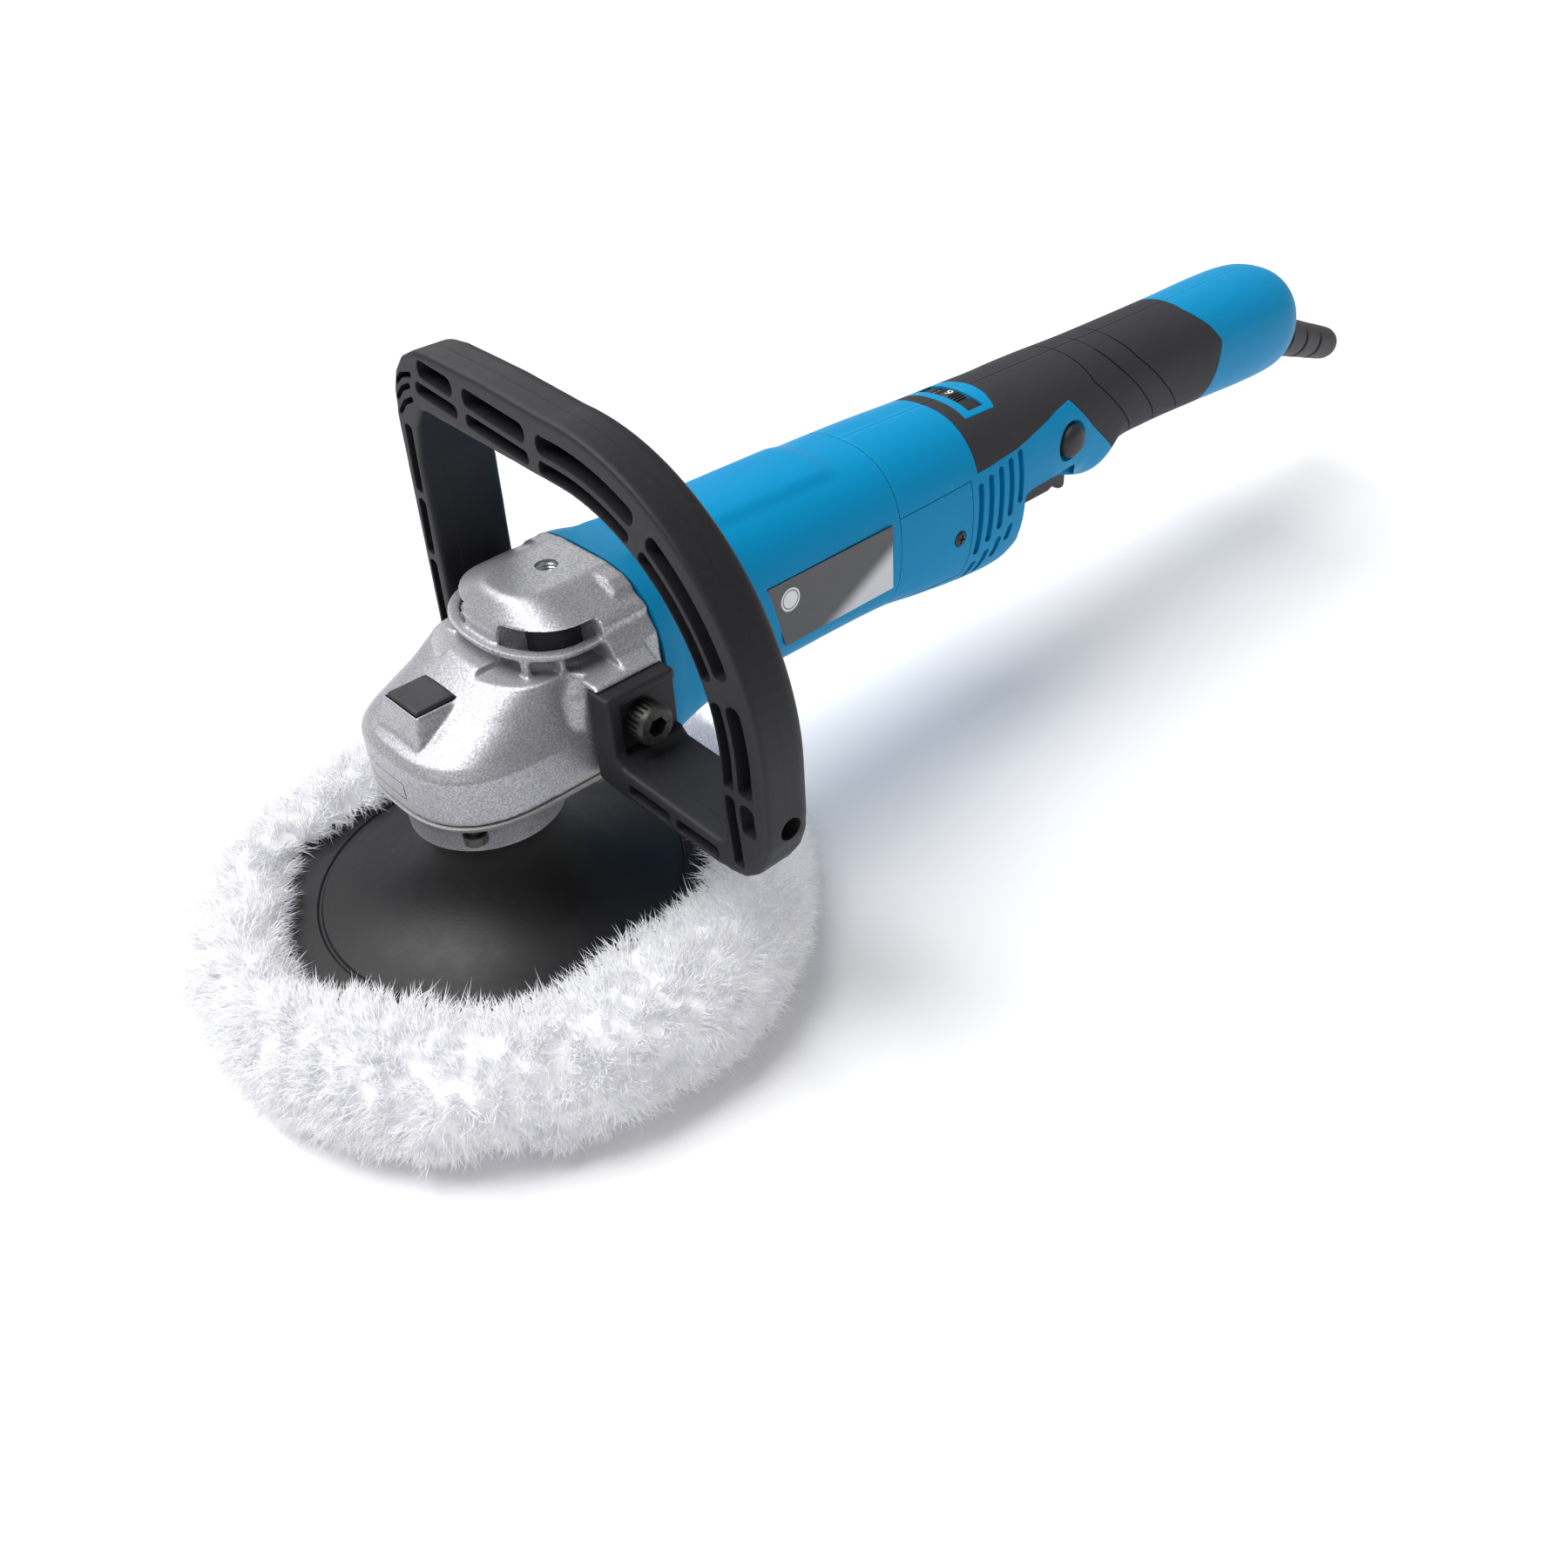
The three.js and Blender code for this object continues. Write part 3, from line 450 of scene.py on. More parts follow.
silver_lacquer = Finish("silver_lacquer", {"Coat Weight": 0.25, "Coat Roughness": 0.3})
flake = silver_lacquer.grain(0.00035, 3.0)
flake_spots = silver_lacquer.between(flake, 0.35, 0.68)
soft_patches = silver_lacquer.grain(0.02, 3.0)
speckled = silver_lacquer.mixed(flake_spots, shade(150, 150, 155), shade(192, 192, 197))
# Outer edges painted a lighter silver: partly wear, partly a painted highlight.
silver_edge_wear_and_highlight = 0.75 * silver_lacquer.worn()
silver_lacquer.paint("Base Color", silver_lacquer.mixed(silver_edge_wear_and_highlight, speckled, shade(228, 226, 220)))
silver_lacquer.paint("Metallic", 0.62 + 0.12 * flake_spots)
silver_lacquer.paint("Roughness", 0.36 + 0.16 * (1 - flake) + 0.06 * soft_patches)
silver_lacquer.relief(flake, 0.00005)

DOME = [(111, 10, 31, 2.2, 30), (122.4, 9.2, 30.6, 2.2, 30), (124, 10.2, 28.5, 2.2, 30),
        (129.4, 14.5, 17, 2.4, 30), (130.6, 16, 14, 2.5, 30), (131, 17.5, 12, 2.6, 30)]
CHEEKS = [(61, 43, 35, 8, 48), (64, 38, 35, 8, 48), (77, 30, 35, 6, 44), (95, 12, 34.6, 5, 30),
          (105, 15.5, 35, 5, 32), (115, 24, 34.2, 5, 38), (119.6, 32, 31, 5, 42), (124, 36, 27.5, 5, 45),
          (129.4, 40, 17, 5, 47), (130.9, 43, 13, 5, 48)]
NOSE = [(77, -30, 35, 2.7, 6), (92.6, -29.7, 34.8, 2.7, 6), (96, -27.6, 32.2, 2.6, 6),
        (104, -13.5, 29.6, 2.3, 12), (113.2, 1.5, 27, 2.1, 16)]
SEAT_TOP = 107.4
SEAT = [(92, -25.2, 18, 12.6), (SEAT_TOP, -21.2, 5, 9.7)]
seat_rings = [[(front, -half, z), (rear, -half, z), (rear, half, z), (front, half, z)]
              for z, front, rear, half in SEAT]
case_forms = [loft([plan_ring(*ring) for ring in rings]) for rings in (DOME, CHEEKS, NOSE)]
case_forms.append(loft(seat_rings))
for side in (-1, 1):
    shelf = [(side * 33, 109.4), (side * 41.2, 109.4), (side * 41.4, 110.6), (side * 34, 113.8)]
    case_forms.append(prism(shelf, "X", 21, 45))
    nub = [(side * 9, 122), (side * 9, 131.2), (side * 20, 129.8), (side * 24.5, 127.2), (side * 24.5, 118)]
    case_forms.append(prism(nub, "X", 43.8, SEAM_X))
gear_case = heap("gear_case_casting", case_forms)
cast(gear_case, 0.7, 0)

MOUTH_LOW = 111.4
MOUTH_HIGH = 124.2
mouth = piece_of("mouth", loft([plan_ring(z, -4, 42, 2.2, 24, 33.5) for z in (MOUTH_LOW, MOUTH_HIGH)]))
carve(mouth, loft([plan_ring(z, 20, 17.5, 2.2, 30, 40) for z in (MOUTH_LOW - 1, MOUTH_HIGH + 1)]))
carve(mouth, block((-10, -8.5, 100), (24, 8.5, 130)))
carve(gear_case, form_of(mouth))
LIP = [(116.4, 6.4, 29.6, 2.2, 28, 34), (118.6, 5.8, 30.2, 2.2, 28, 34)]
lip = piece_of("lip", loft([plan_ring(*ring) for ring in LIP]))
carve(lip, loft([plan_ring(z, 9.6, 26.4, 2.2, 28, 36) for z in (115, 121)]))
louvre_forms = [form_of(gear_case), form_of(lip)]
for x, y in ((11.8, 20.3), (20.4, 25.8)):
    for side in (-1, 1):
        louvre_forms.append(block((x - 1, side * (y - 2.5), 110), (x + 1, side * (y + 1), 117)))
gear_case = heap("gear_case_casting", louvre_forms)
cast(gear_case, 0.62, 2)
TOP_HOLE = (36.4, 0, 0)
BOLT_PLACE = (33.2, 0, 97.2)
carve(gear_case, rod(3.7, 119, 133, 32, place=TOP_HOLE))
carve(gear_case, block((-20.9, -8.9, 100.9), (-6.6, 8.9, 112)))
for side in (-1, 1):
    carve(gear_case, block((19, side * 36.3, 60), (48, side * 44, 109.8)))
    carve(gear_case, rod(4.3, 23, 45, 24, (0, side, 0), BOLT_PLACE))
ARROW = [(-8, 81.5), (9, 81.5), (9, 79.5), (14.5, 84.5), (9, 89.5), (9, 87.5), (-8, 87.5)]
ARROW_LINE = 0.55
arrow = piece_of("arrow", prism(ARROW, "X", -33, -28.9))
inner = [(y + (ARROW_LINE if y < 0 else -ARROW_LINE), 84.5 + (z - 84.5) * 0.84) for y, z in ARROW]
carve(arrow, prism(inner, "X", -34, -28))
carve(gear_case, form_of(arrow))
fitted(gear_case, silver_lacquer, "cast_silver", "gear_case", sharp=50)

# Painted shade: a thin black sheet on the back wall of each air mouth, where the deep mouth falls dark.
shade_liner = piece_of("mouth_screen", loft([plan_ring(z, 18.9, 18.6, 2.2, 30, 40)
                                        for z in (MOUTH_LOW + 0.2, MOUTH_HIGH - 0.2)]))
carve(shade_liner, loft([plan_ring(z, 19.9, 17.6, 2.2, 30, 41) for z in (MOUTH_LOW - 1, MOUTH_HIGH + 1)]))
carve(shade_liner, block((10, -8.7, 100), (50, 8.7, 130)))
fitted(shade_liner, moulded_nylon, "black_nylon")

# Gearbox cover: a shallow silver casting screwed under the gear case, its collar turned round the
# lower bearing, with a half-round drain notch. Four black screws, a felt seal and a thin thread insert.


def swung(form, angle, axis, place):
    """A form turned about an axis of its own, then moved to its place."""
    bmesh.ops.rotate(form, cent=(0, 0, 0), matrix=Matrix.Rotation(angle, 3, axis), verts=form.verts)
    bmesh.ops.translate(form, vec=place, verts=form.verts)
    return form


COVER = [(72.4, -25.8, 30.8, 2.7, 6), (73.4, -28.2, 33.2, 2.7, 6), (74.6, -29.6, 34.6, 2.7, 6),
         (76.3, -30.4, 35.4, 2.7, 6), (76.7, -30.1, 35.1, 2.7, 6)]
cover = piece_of("gearbox_cover_casting", loft([plan_ring(*ring, rear=35.4) for ring in COVER]))
COLLAR = [(0, 59), (24.2, 59), (25.2, 59.8), (25.6, 66), (26.6, 69.5), (28.6, 73), (0, 73)]
carve(cover, turned(COLLAR, 96), "UNION")
carve(cover, rod(16.3, 62.4, 80, 48))
carve(cover, rod(11.3, 55, 64, 48))
notch = prism([(-2.9, 65.9), (2.9, 65.9), (2.4, 64.3), (1.2, 63.2), (-1.2, 63.2), (-2.4, 64.3)], "X", 20, 30)
carve(cover, swung(notch, atan2(-19.2, -16.6), "Z", (0, 0, 0)))
for x, y in ((-19, -25.4), (-19, 25.4), (25, -27), (25, 27)):
    carve(cover, rod(4.2, 60, 72.7, 24, place=(x, y, 0)))
fitted(cover, silver_lacquer, "cast_silver", "gearbox_cover")

# Its edges go lighter towards bare steel: partly wear, partly a painted highlight.
black_oxide = grained("black_oxide", {"Metallic": 0.85}, (0.0007, 4.0), (26, 26, 29), (94, 92, 90),
                      (0.32, 0.22), (0.00006, 0.0003), 0.5, 0.6)
coated(black_oxide, *[f"cover_screw_{number}" for number in (1, 2, 3, 4)],
       *[f"housing_screw_{number}" for number in (1, 2, 3)])

thread = piece_of("top_thread", turned([(3.65, 122)] + [
    (3.65 if turn % 2 else 3.15, 122.4 + 0.5 * turn) for turn in range(16)] + [(3.65, 130.3)], 40,
    place=TOP_HOLE))
thicken = thread.modifiers.new("wall", "SOLIDIFY")
thicken.thickness = 0.25
settled(thread)
fitted(thread, ground_steel, "bright_steel")

felt = grained("felt_seal", {}, (0.0004, 4.0), (18, 18, 19), (44, 43, 42), (0.85, 0.1), (0.0002,))
coated(felt, "spindle_seal")

# Spindle lock: a square black nylon button with softly rounded edges and a slightly dished top, let
# into the seat on the nose. It presses a steel pin into the ring gear.

button_low, button_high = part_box("spindle_lock_button")
button_form = block(button_low / MM, button_high / MM)
button_top = button_high.z / MM - 0.1
top_edges = [edge for edge in button_form.edges if max(end.co.z for end in edge.verts) > button_top]
bmesh.ops.bevel(button_form, geom=top_edges, offset=0.8, offset_type="OFFSET", segments=4, profile=0.5,
                affect="EDGES", material=-1)
lock_button = piece_of("lock_button_cap", button_form)
carve(lock_button, turned([(0, 108.3), (3, 108.34), (6, 108.5), (8.2, 108.75), (8.2, 112), (0, 112)], 48,
                          place=(-13.7, 0, 0)))
fitted(lock_button, moulded_nylon, "black_nylon", "spindle_lock_button", body="spindle_lock_body")

# Motor housing: one blue glass-filled nylon moulding round the motor, a squarish flange at the gear case,
# and a raised flat along its top that ramps down before the rear seam. Each side has a recess for a label.

MID_SEAM_X = 162.8
SECTION_SIDES = 128
BODY = [(51, 36, 131, 61, 3.2), (55, 35.4, 130.9, 61.6, 3.1), (62, 33.5, 130.5, 63, 2.8),
        (80, 31.5, 130, 64.5, 2.5), (120, 31, 129.5, 64.5, 2.5), (162, 30.5, 128.8, 63, 2.5),
        (184, 30.5, 128.2, 59.2, 2.5), (208, 30.3, 127.5, 55, 2.4), (229, 29.8, 127, 53.6, 2.4),
        (238, 29, 126.9, 56.5, 2.35), (248, 28, 126.7, 62, 2.3), (262, 26.6, 126.4, 73, 2.3),
        (280, 26, 126, 74, 2.3), (291, 25.6, 125.8, 70.5, 2.3), (297, 25.2, 125.6, 71.5, 2.3),
        (306, 24.6, 125.4, 78, 2.2), (330, 24, 125.1, 78.5, 2.2), (366, 24.6, 124.6, 76.6, 2.2),
        (400, 26, 124.3, 74.4, 2.2), (420, 26, 123.4, 73.6, 2.2), (430, 24.6, 121.6, 74, 2.2),
        (437, 21.4, 118, 75.6, 2.1), (441, 16.5, 112, 79, 2)]


def eased(value, start, end):
    """0 at start and 1 at end, smooth between them."""
    part = min(1.0, max(0.0, (value - start) / (end - start)))
    return part * part * (3 - 2 * part)


def section(x, inset, flat=0.0):
    """One section of the body: a rounded square, drawn in by inset, with a raised flat along its top."""
    later = next((index for index, row in enumerate(BODY) if row[0] >= x), len(BODY) - 1)
    rows = [BODY[min(max(index, 0), len(BODY) - 1)] for index in range(later - 2, later + 2)]
    part = (x - rows[1][0]) / (rows[2][0] - rows[1][0]) if rows[2][0] > rows[1][0] else 0
    half, top, bottom, square = [
        start + (end - start) * part + part * (1 - part) * ((1 - part) * (lean_in - (end - start))
                                                                  - part * (lean_out - (end - start)))
        for start, end, lean_in, lean_out in zip(rows[1][1:], rows[2][1:], *slopes(rows))]
    ring = []
    for step in range(SECTION_SIDES):
        angle = 2 * pi * step / SECTION_SIDES
        across = abs(sin(angle)) ** (2 / square) * (1 if sin(angle) > 0 else -1)
        rise = abs(cos(angle)) ** (2 / square) * (1 if cos(angle) > 0 else -1)
        y = (half - inset) * across
        z = (top + bottom) / 2 + ((top - bottom) / 2 - inset) * rise
        raised = flat * eased(x, 54, 62) * (1 - eased(x, 139, 150)) * (1 - eased(abs(y), 13.5, 17.5))
        ring.append((x, y, z + (raised if rise > 0 else 0)))
    return ring


def slopes(rows):
    """The change over the middle span of four rows, as it leans at the span's two ends."""
    span = rows[2][0] - rows[1][0]
    before = max(rows[2][0] - rows[0][0], 1e-6)
    after = max(rows[3][0] - rows[1][0], 1e-6)
    lean_in = [(high - low) / before * span for low, high in zip(rows[0][1:], rows[2][1:])]
    lean_out = [(high - low) / after * span for low, high in zip(rows[1][1:], rows[3][1:])]
    return lean_in, lean_out


def body_form(inset, start, end, flat=0.0, step=2.0):
    count = max(2, round((end - start) / step))
    return loft([section(start + (end - start) * index / count, inset, flat) for index in range(count + 1)])


blue_plastic = Finish("blue_plastic", {"Specular IOR Level": 0.12})
spark = blue_plastic.grain(0.0005, 3.0)
drift = blue_plastic.grain(0.05, 3.0)
blue_tone = blue_plastic.mixed(0.7 * drift + 0.3 * spark, shade(0, 134, 186), shade(0, 146, 199))
# Outer edges painted a lighter blue: partly wear, partly a painted highlight.
blue_edge_wear_and_highlight = 0.35 * blue_plastic.worn()
blue_plastic.paint("Base Color", blue_plastic.mixed(blue_edge_wear_and_highlight, blue_tone, shade(34, 168, 218)))
blue_plastic.paint("Roughness", 0.36 + 0.1 * spark + 0.06 * drift)
blue_plastic.relief(spark, 0.00005, 0.0006)

WALL = 3
LABEL_FRONT, LABEL_REAR = 98.5, 158.5
LABEL_LOW, LABEL_HIGH = 82, 107.2
LABEL_FACE = 30.1
LABEL_OUTLINE = [(LABEL_FRONT, LABEL_HIGH), (LABEL_REAR, LABEL_HIGH), (LABEL_REAR, LABEL_LOW),
                 (LABEL_FRONT + 7, LABEL_LOW)]
SEAM_LINE = 0.18
motor_housing = piece_of("motor_housing_shell", body_form(0, SEAM_X + 0.3, MID_SEAM_X - SEAM_LINE, flat=1.5))
carve(motor_housing, body_form(WALL, SEAM_X - 1, MID_SEAM_X + 1))
for side in (-1, 1):
    carve(motor_housing, prism(LABEL_OUTLINE, "Y", side * (LABEL_FACE - 0.3), side * 36))
fitted(motor_housing, blue_plastic, "blue_plastic", "motor_housing")

# Labels: plain printed foil plates in the side recesses, dark grey fading to a light lower corner
# behind a slanting edge, with a blank round badge. They carry no words.

foil = Finish("label_foil", {"Coat Weight": 0.4, "Coat Roughness": 0.2})
fade = foil.between(foil.where(0) - 1.95 * foil.where(2), -0.041, -0.023)
smudge = foil.grain(0.004, 4.0)
badge_x = foil.where(0) - 0.1085
badge_z = foil.where(2) - 0.0992
badge_reach = badge_x * badge_x + badge_z * badge_z
badge = 1 - foil.between(badge_reach, 0.0000175, 0.0000195)
badge_rim = foil.between(badge_reach, 0.0000095, 0.0000105) * (
    1 - foil.between(badge_reach, 0.0000125, 0.0000135))
ink = foil.mixed(smudge, shade(40, 40, 44), shade(58, 58, 63))
foil_shade = foil.mixed(fade, ink, shade(214, 214, 220))
foil_shade = foil.mixed(badge, foil_shade, shade(232, 232, 236))
foil.paint("Base Color", foil.mixed(badge_rim, foil_shade, shade(96, 96, 102)))
foil.paint("Roughness", 0.34 + 0.1 * smudge)
coated(foil, "label_plate_left", "label_plate_right")

# Rear housing: two blue mouldings screwed together along the middle, left and right. They hold the air
# slots, the brush doors, the leaf-shaped panel round the lock-on button and the recess for the soft grip.

GRIP_SIDE = [(206, 140), (206, 108.6), (213, 108.7), (221, 109.2), (229, 109.6), (236, 110.4), (243, 111.6),
             (250, 112.8), (258, 114.9), (266, 116.2), (271.5, 110.4), (279, 102), (291, 91.2), (299, 84),
             (306, 78), (308, 50), (366, 50), (366.6, 84), (367.5, 91), (369.5, 102), (371.3, 109.5),
             (366, 116.5), (359, 123), (358, 140)]
FRAME_PLAN = [(212.9, -15.6), (229, -15.6), (231.6, -9), (232.9, 0), (231.6, 9), (229, 15.6), (212.9, 15.6)]


def grip_zone(shrink):
    """The side outline of the soft grip, drawn in by shrink, without the frame of the dial window."""
    centre = Vector((286, 118))
    outline = []
    for u, v in GRIP_SIDE:
        inward = (centre - Vector((u, v))).normalized() * shrink
        outline.append((u + inward.x, v + inward.y))
    zone = piece_of("zone", prism(outline, "Y", -45, 45))
    frame_centre = Vector((222, 0))
    plan = [Vector(point) + (Vector(point) - frame_centre).normalized() * shrink for point in FRAME_PLAN]
    carve(zone, prism([tuple(point) for point in plan], "Z", 108, 145))
    return form_of(zone)


FLOOR_INSET = 2.1
housing = piece_of("housing", body_form(0, MID_SEAM_X + SEAM_LINE, 441))
carve(housing, grip_zone(0))
SLOT_WIDTH = 3.0
for index in range(5):
    x = 205.6 + 6.1 * index
    low, high = 75.5 + 3.2 * index, 104.8 + 1.1 * index
    lean = 1.2
    rows = [(low, high)] if index == 4 else [(low, high), (low - 17.5 + 2.2 * index, low - 3.6)]
    for bottom, top in rows:
        slot = [(x - SLOT_WIDTH / 2, bottom + 1), (x, bottom), (x + SLOT_WIDTH / 2, bottom + 1),
                (x + SLOT_WIDTH / 2 + lean, top - 1), (x + lean, top), (x - SLOT_WIDTH / 2 + lean, top - 1)]
        carve(housing, prism(slot, "Y", -40, 40))
LOCK_ON_PLACE = (265.2, 0, 100.6)
DISH = [(0, 23.4), (7.2, 23.4), (7.8, 25), (9.6, 28.5), (12, 32), (0, 32)]
carve(housing, turned(DISH, 48, (0, -1, 0), LOCK_ON_PLACE))
carve(housing, body_form(FLOOR_INSET, MID_SEAM_X + SEAM_LINE + 0.01, 437), "UNION")
hollow = piece_of("hollow", body_form(WALL, MID_SEAM_X - 1, 434))
FLANK = [(45, 100.5), (28.3, 90.5), (9.4, 79.2), (9.4, 40), (45, 40)]
FLANK_PLAN = [(233.5, 50), (233.5, 27), (247, 9.3), (291, 9.3), (268.5, 26), (267, 50)]
GUARD = [(48, 104.6), (28.3, 93.6), (7.2, 81.4), (7.2, 38), (48, 38)]
GUARD_PLAN = [(230.5, 52), (230.5, 25.5), (245, 7), (294, 7), (271.5, 28), (270, 52)]


def flank(side, outline, plan):
    """The relief in the housing's flank that bares the trigger, bounded from the rear and from above."""
    relief = piece_of("relief", prism([(side * y, z) for y, z in outline], "X", 225, 300))
    carve(relief, prism([(x, side * y) for x, y in plan], "Z", 30, 120), "INTERSECT")
    return form_of(relief)


for side in (-1, 1):
    carve(housing, flank(side, FLANK, FLANK_PLAN))
    carve(hollow, flank(side, GUARD, GUARD_PLAN))
carve(housing, form_of(hollow))
DOOR_X = (MID_SEAM_X - 2, 201.8)
DOOR_Z = (67, 107.5)
for side in (-1, 1):
    carve(housing, block((DOOR_X[0], side * 17, DOOR_Z[0]), (DOOR_X[1], side * 40, DOOR_Z[1])))
DIAL_WINDOW_X = (217.2, 225.6)
DIAL_WINDOW_HALF = 13.2
carve(housing, block((DIAL_WINDOW_X[0], -DIAL_WINDOW_HALF, 112), (DIAL_WINDOW_X[1], DIAL_WINDOW_HALF, 140)))
TRIGGER_SLOT_X = (251.5, 291.3)
TRIGGER_SLOT_HALF = 7.1
carve(housing, block((TRIGGER_SLOT_X[0], -TRIGGER_SLOT_HALF, 50), (TRIGGER_SLOT_X[1], TRIGGER_SLOT_HALF, 84)))
carve(housing, rod(7.0, 10, 40, 40, (0, -1, 0), LOCK_ON_PLACE))
SLEEVE_DROP = radians(20)
SLEEVE_LINE = (cos(SLEEVE_DROP), 0, -sin(SLEEVE_DROP))
SLEEVE_ROOT = (436, 0, 89.2)
carve(housing, rod(10.4, -14, 20, 40, SLEEVE_LINE, SLEEVE_ROOT))


def halved(piece, side, gap):
    """One half of a piece, cut along the middle plane and closed there."""
    form = bmesh.new()
    form.from_mesh(piece.data)
    cut = bmesh.ops.bisect_plane(form, geom=form.verts[:] + form.edges[:] + form.faces[:], dist=0.0001,
                                 plane_co=(0, side * gap, 0), plane_no=(0, -side, 0), clear_outer=True)
    rim = [item for item in cut["geom_cut"] if isinstance(item, bmesh.types.BMEdge)]
    bmesh.ops.triangle_fill(form, edges=rim, use_beauty=True)
    bmesh.ops.recalc_face_normals(form, faces=form.faces)
    return form


for side, name in ((-1, "left"), (1, "right")):
    half = piece_of("rear_housing_shell_" + name, halved(housing, side, SEAM_LINE / 2))
    fitted(half, blue_plastic, "blue_plastic", "rear_housing_" + name)
bpy.data.objects.remove(housing)

# Brush doors: a thin blue cover at each side of the rear housing, flush with it inside a hairline gap,
# held by one black cross-head screw in a dished hole.

DOOR_GAP = 0.28
DOOR_SCREW = (195, 0, 87)
for side, name in ((-1, "left"), (1, "right")):
    door = piece_of("brush_door_cover_" + name, body_form(0.05, MID_SEAM_X + SEAM_LINE, 203, step=1.6))
    carve(door, body_form(2.6, MID_SEAM_X - 1, 205, step=1.6))
    carve(door, block((MID_SEAM_X, side * 18, DOOR_Z[0] + DOOR_GAP),
                      (DOOR_X[1] - DOOR_GAP, side * 40, DOOR_Z[1] - DOOR_GAP)), "INTERSECT")
    carve(door, turned([(0, 29.6), (3.1, 29.6), (3.6, 31), (3.8, 34), (0, 34)], 32, (0, side, 0), DOOR_SCREW))
    carve(door, rod(2, 20, 35, 24, (0, side, 0), DOOR_SCREW))
    fitted(door, blue_plastic, "blue_plastic", "brush_door_" + name)
    screw = piece_of("door_screw_head_" + name, turned(
        [(0, 27), (1.6, 27), (1.6, 29.2), (2.8, 29.4), (2.8, 30.2), (2.2, 30.7), (0, 30.9)], 32,
        (0, side, 0), DOOR_SCREW))
    for turn in (20, 110):
        cross = block((-0.35, side * 30.1, -1.7), (0.35, side * 32, 1.7))
        carve(screw, swung(cross, radians(turn), "Y", DOOR_SCREW))
    fitted(screw, black_oxide, "black_steel", "door_screw_" + name)

# Soft grip: charcoal rubber moulded over both halves of the housing, with a parting line along the top
# and three fine grooves that cross the top and sweep back down each side.

grip_rubber = Finish("grip_rubber", {"Specular IOR Level": 0.3})
pebble = grip_rubber.grain(0.0005, 3.0)
wear_cloud = grip_rubber.grain(0.025, 4.0)
# The colour lightens on outer edges: partly wear, partly a painted highlight.
grip_rubber.look(0.5 * pebble + 0.3 * wear_cloud + 0.4 * grip_rubber.worn(), (40, 39, 43), (60, 59, 64),
                 0.56 + 0.16 * pebble + 0.08 * wear_cloud)
grip_rubber.relief(pebble, 0.00008, 0.0005)

grip = piece_of("grip", body_form(0, 203, 376))
carve(grip, grip_zone(0.25), "INTERSECT")
GROOVE_WIDTH = 0.8
for start, corner, end in ((282.5, (284.2, 117), (313, 87)), (297, (301.6, 117.5), (330, 87)),
                           (311, (315, 117.5), (346, 87))):
    line = [(start, 140), (start, 124), corner, end]
    line += [(x + GROOVE_WIDTH, z) for x, z in line[::-1]]
    carve(grip, prism(line, "Y", -45, 45))
grip_floor = piece_of("grip_floor", body_form(0.75, 203, 376))
carve(grip_floor, grip_zone(0.3), "INTERSECT")
carve(grip, form_of(grip_floor), "UNION")
carve(grip, body_form(FLOOR_INSET - 0.1, 200, 380))
for side, name in ((-1, "left"), (1, "right")):
    half = piece_of("soft_grip_" + name, halved(grip, side, SEAM_LINE))
    fitted(half, grip_rubber, "grip_rubber", "grip_cover_" + name)
bpy.data.objects.remove(grip)

# Speed dial: a ribbed black nylon wheel on the speed module's stub, showing through the framed window.
# White numbers one to six stand on its rim; six is uppermost at rest.

DIAL = (221.4, 0, 113.4)
DIAL_RADIUS = 14.0
WHEEL = [(2.8, -3.4), (13.4, -3.4), (DIAL_RADIUS, -2.8), (DIAL_RADIUS, 2.8), (13.4, 3.4), (2.8, 3.4),
         (2.8, -3.4)]
wheel = piece_of("speed_dial_wheel", turned(WHEEL, 96, (1, 0, 0), DIAL))
NUMBER_PITCH = 30
for rib in range(72):
    turn = rib * 5
    nearest = min(abs((turn - NUMBER_PITCH * mark + 180) % 360 - 180) for mark in range(-5, 1))
    if nearest < 9 and rib % 6 in (5, 0, 1):
        continue
    notch = block((-4, -0.32, DIAL_RADIUS - 0.5), (4, 0.32, DIAL_RADIUS + 1))
    carve(wheel, swung(notch, radians(turn), "X", DIAL))
fitted(wheel, moulded_nylon, "black_nylon", "speed_dial", body="dial_body")

shroud = piece_of("dial_shroud", body_form(0.7, 215, 228))
carve(shroud, block((217.3, -13.1, 112.6), (225.5, 13.1, 140)), "INTERSECT")
carve(shroud, rod(DIAL_RADIUS + 0.4, -6, 6, 64, (1, 0, 0), DIAL))
fitted(shroud, moulded_nylon, "black_nylon")

print_white = grained("print_white", {}, (0.0004, 3.0), (222, 222, 222), (244, 244, 244), (0.5, 0.1))
for number in range(1, 7):
    words = bpy.data.curves.new("dial_number", "FONT")
    words.body = str(number)
    words.size = 5.6
    words.extrude = 0.08
    words.align_x = "CENTER"
    words.align_y = "CENTER"
    figure = bpy.data.objects.new(f"dial_number_{number}", words)
    bpy.context.collection.objects.link(figure)
    flat = bpy.data.meshes.new_from_object(figure.evaluated_get(bpy.context.evaluated_depsgraph_get()))
    bpy.data.objects.remove(figure)
    flat.transform(Matrix(((0, -1, 0, 0), (1, 0, 0, 0), (0, 0, 1, DIAL_RADIUS + 0.02), (0, 0, 0, 1))))
    flat.transform(Matrix.Translation(DIAL) @ Matrix.Rotation(radians(NUMBER_PITCH * (number - 6)), 4, "X"))
    figure = bpy.data.objects.new(f"dial_number_{number}", flat)
    bpy.context.collection.objects.link(figure)
    fitted(figure, print_white, "label", body="dial_body")

# Switch controls: a black nylon trigger that swings on a steel pin under the grip, and a domed lock-on
# button in the dished hole on the left side.

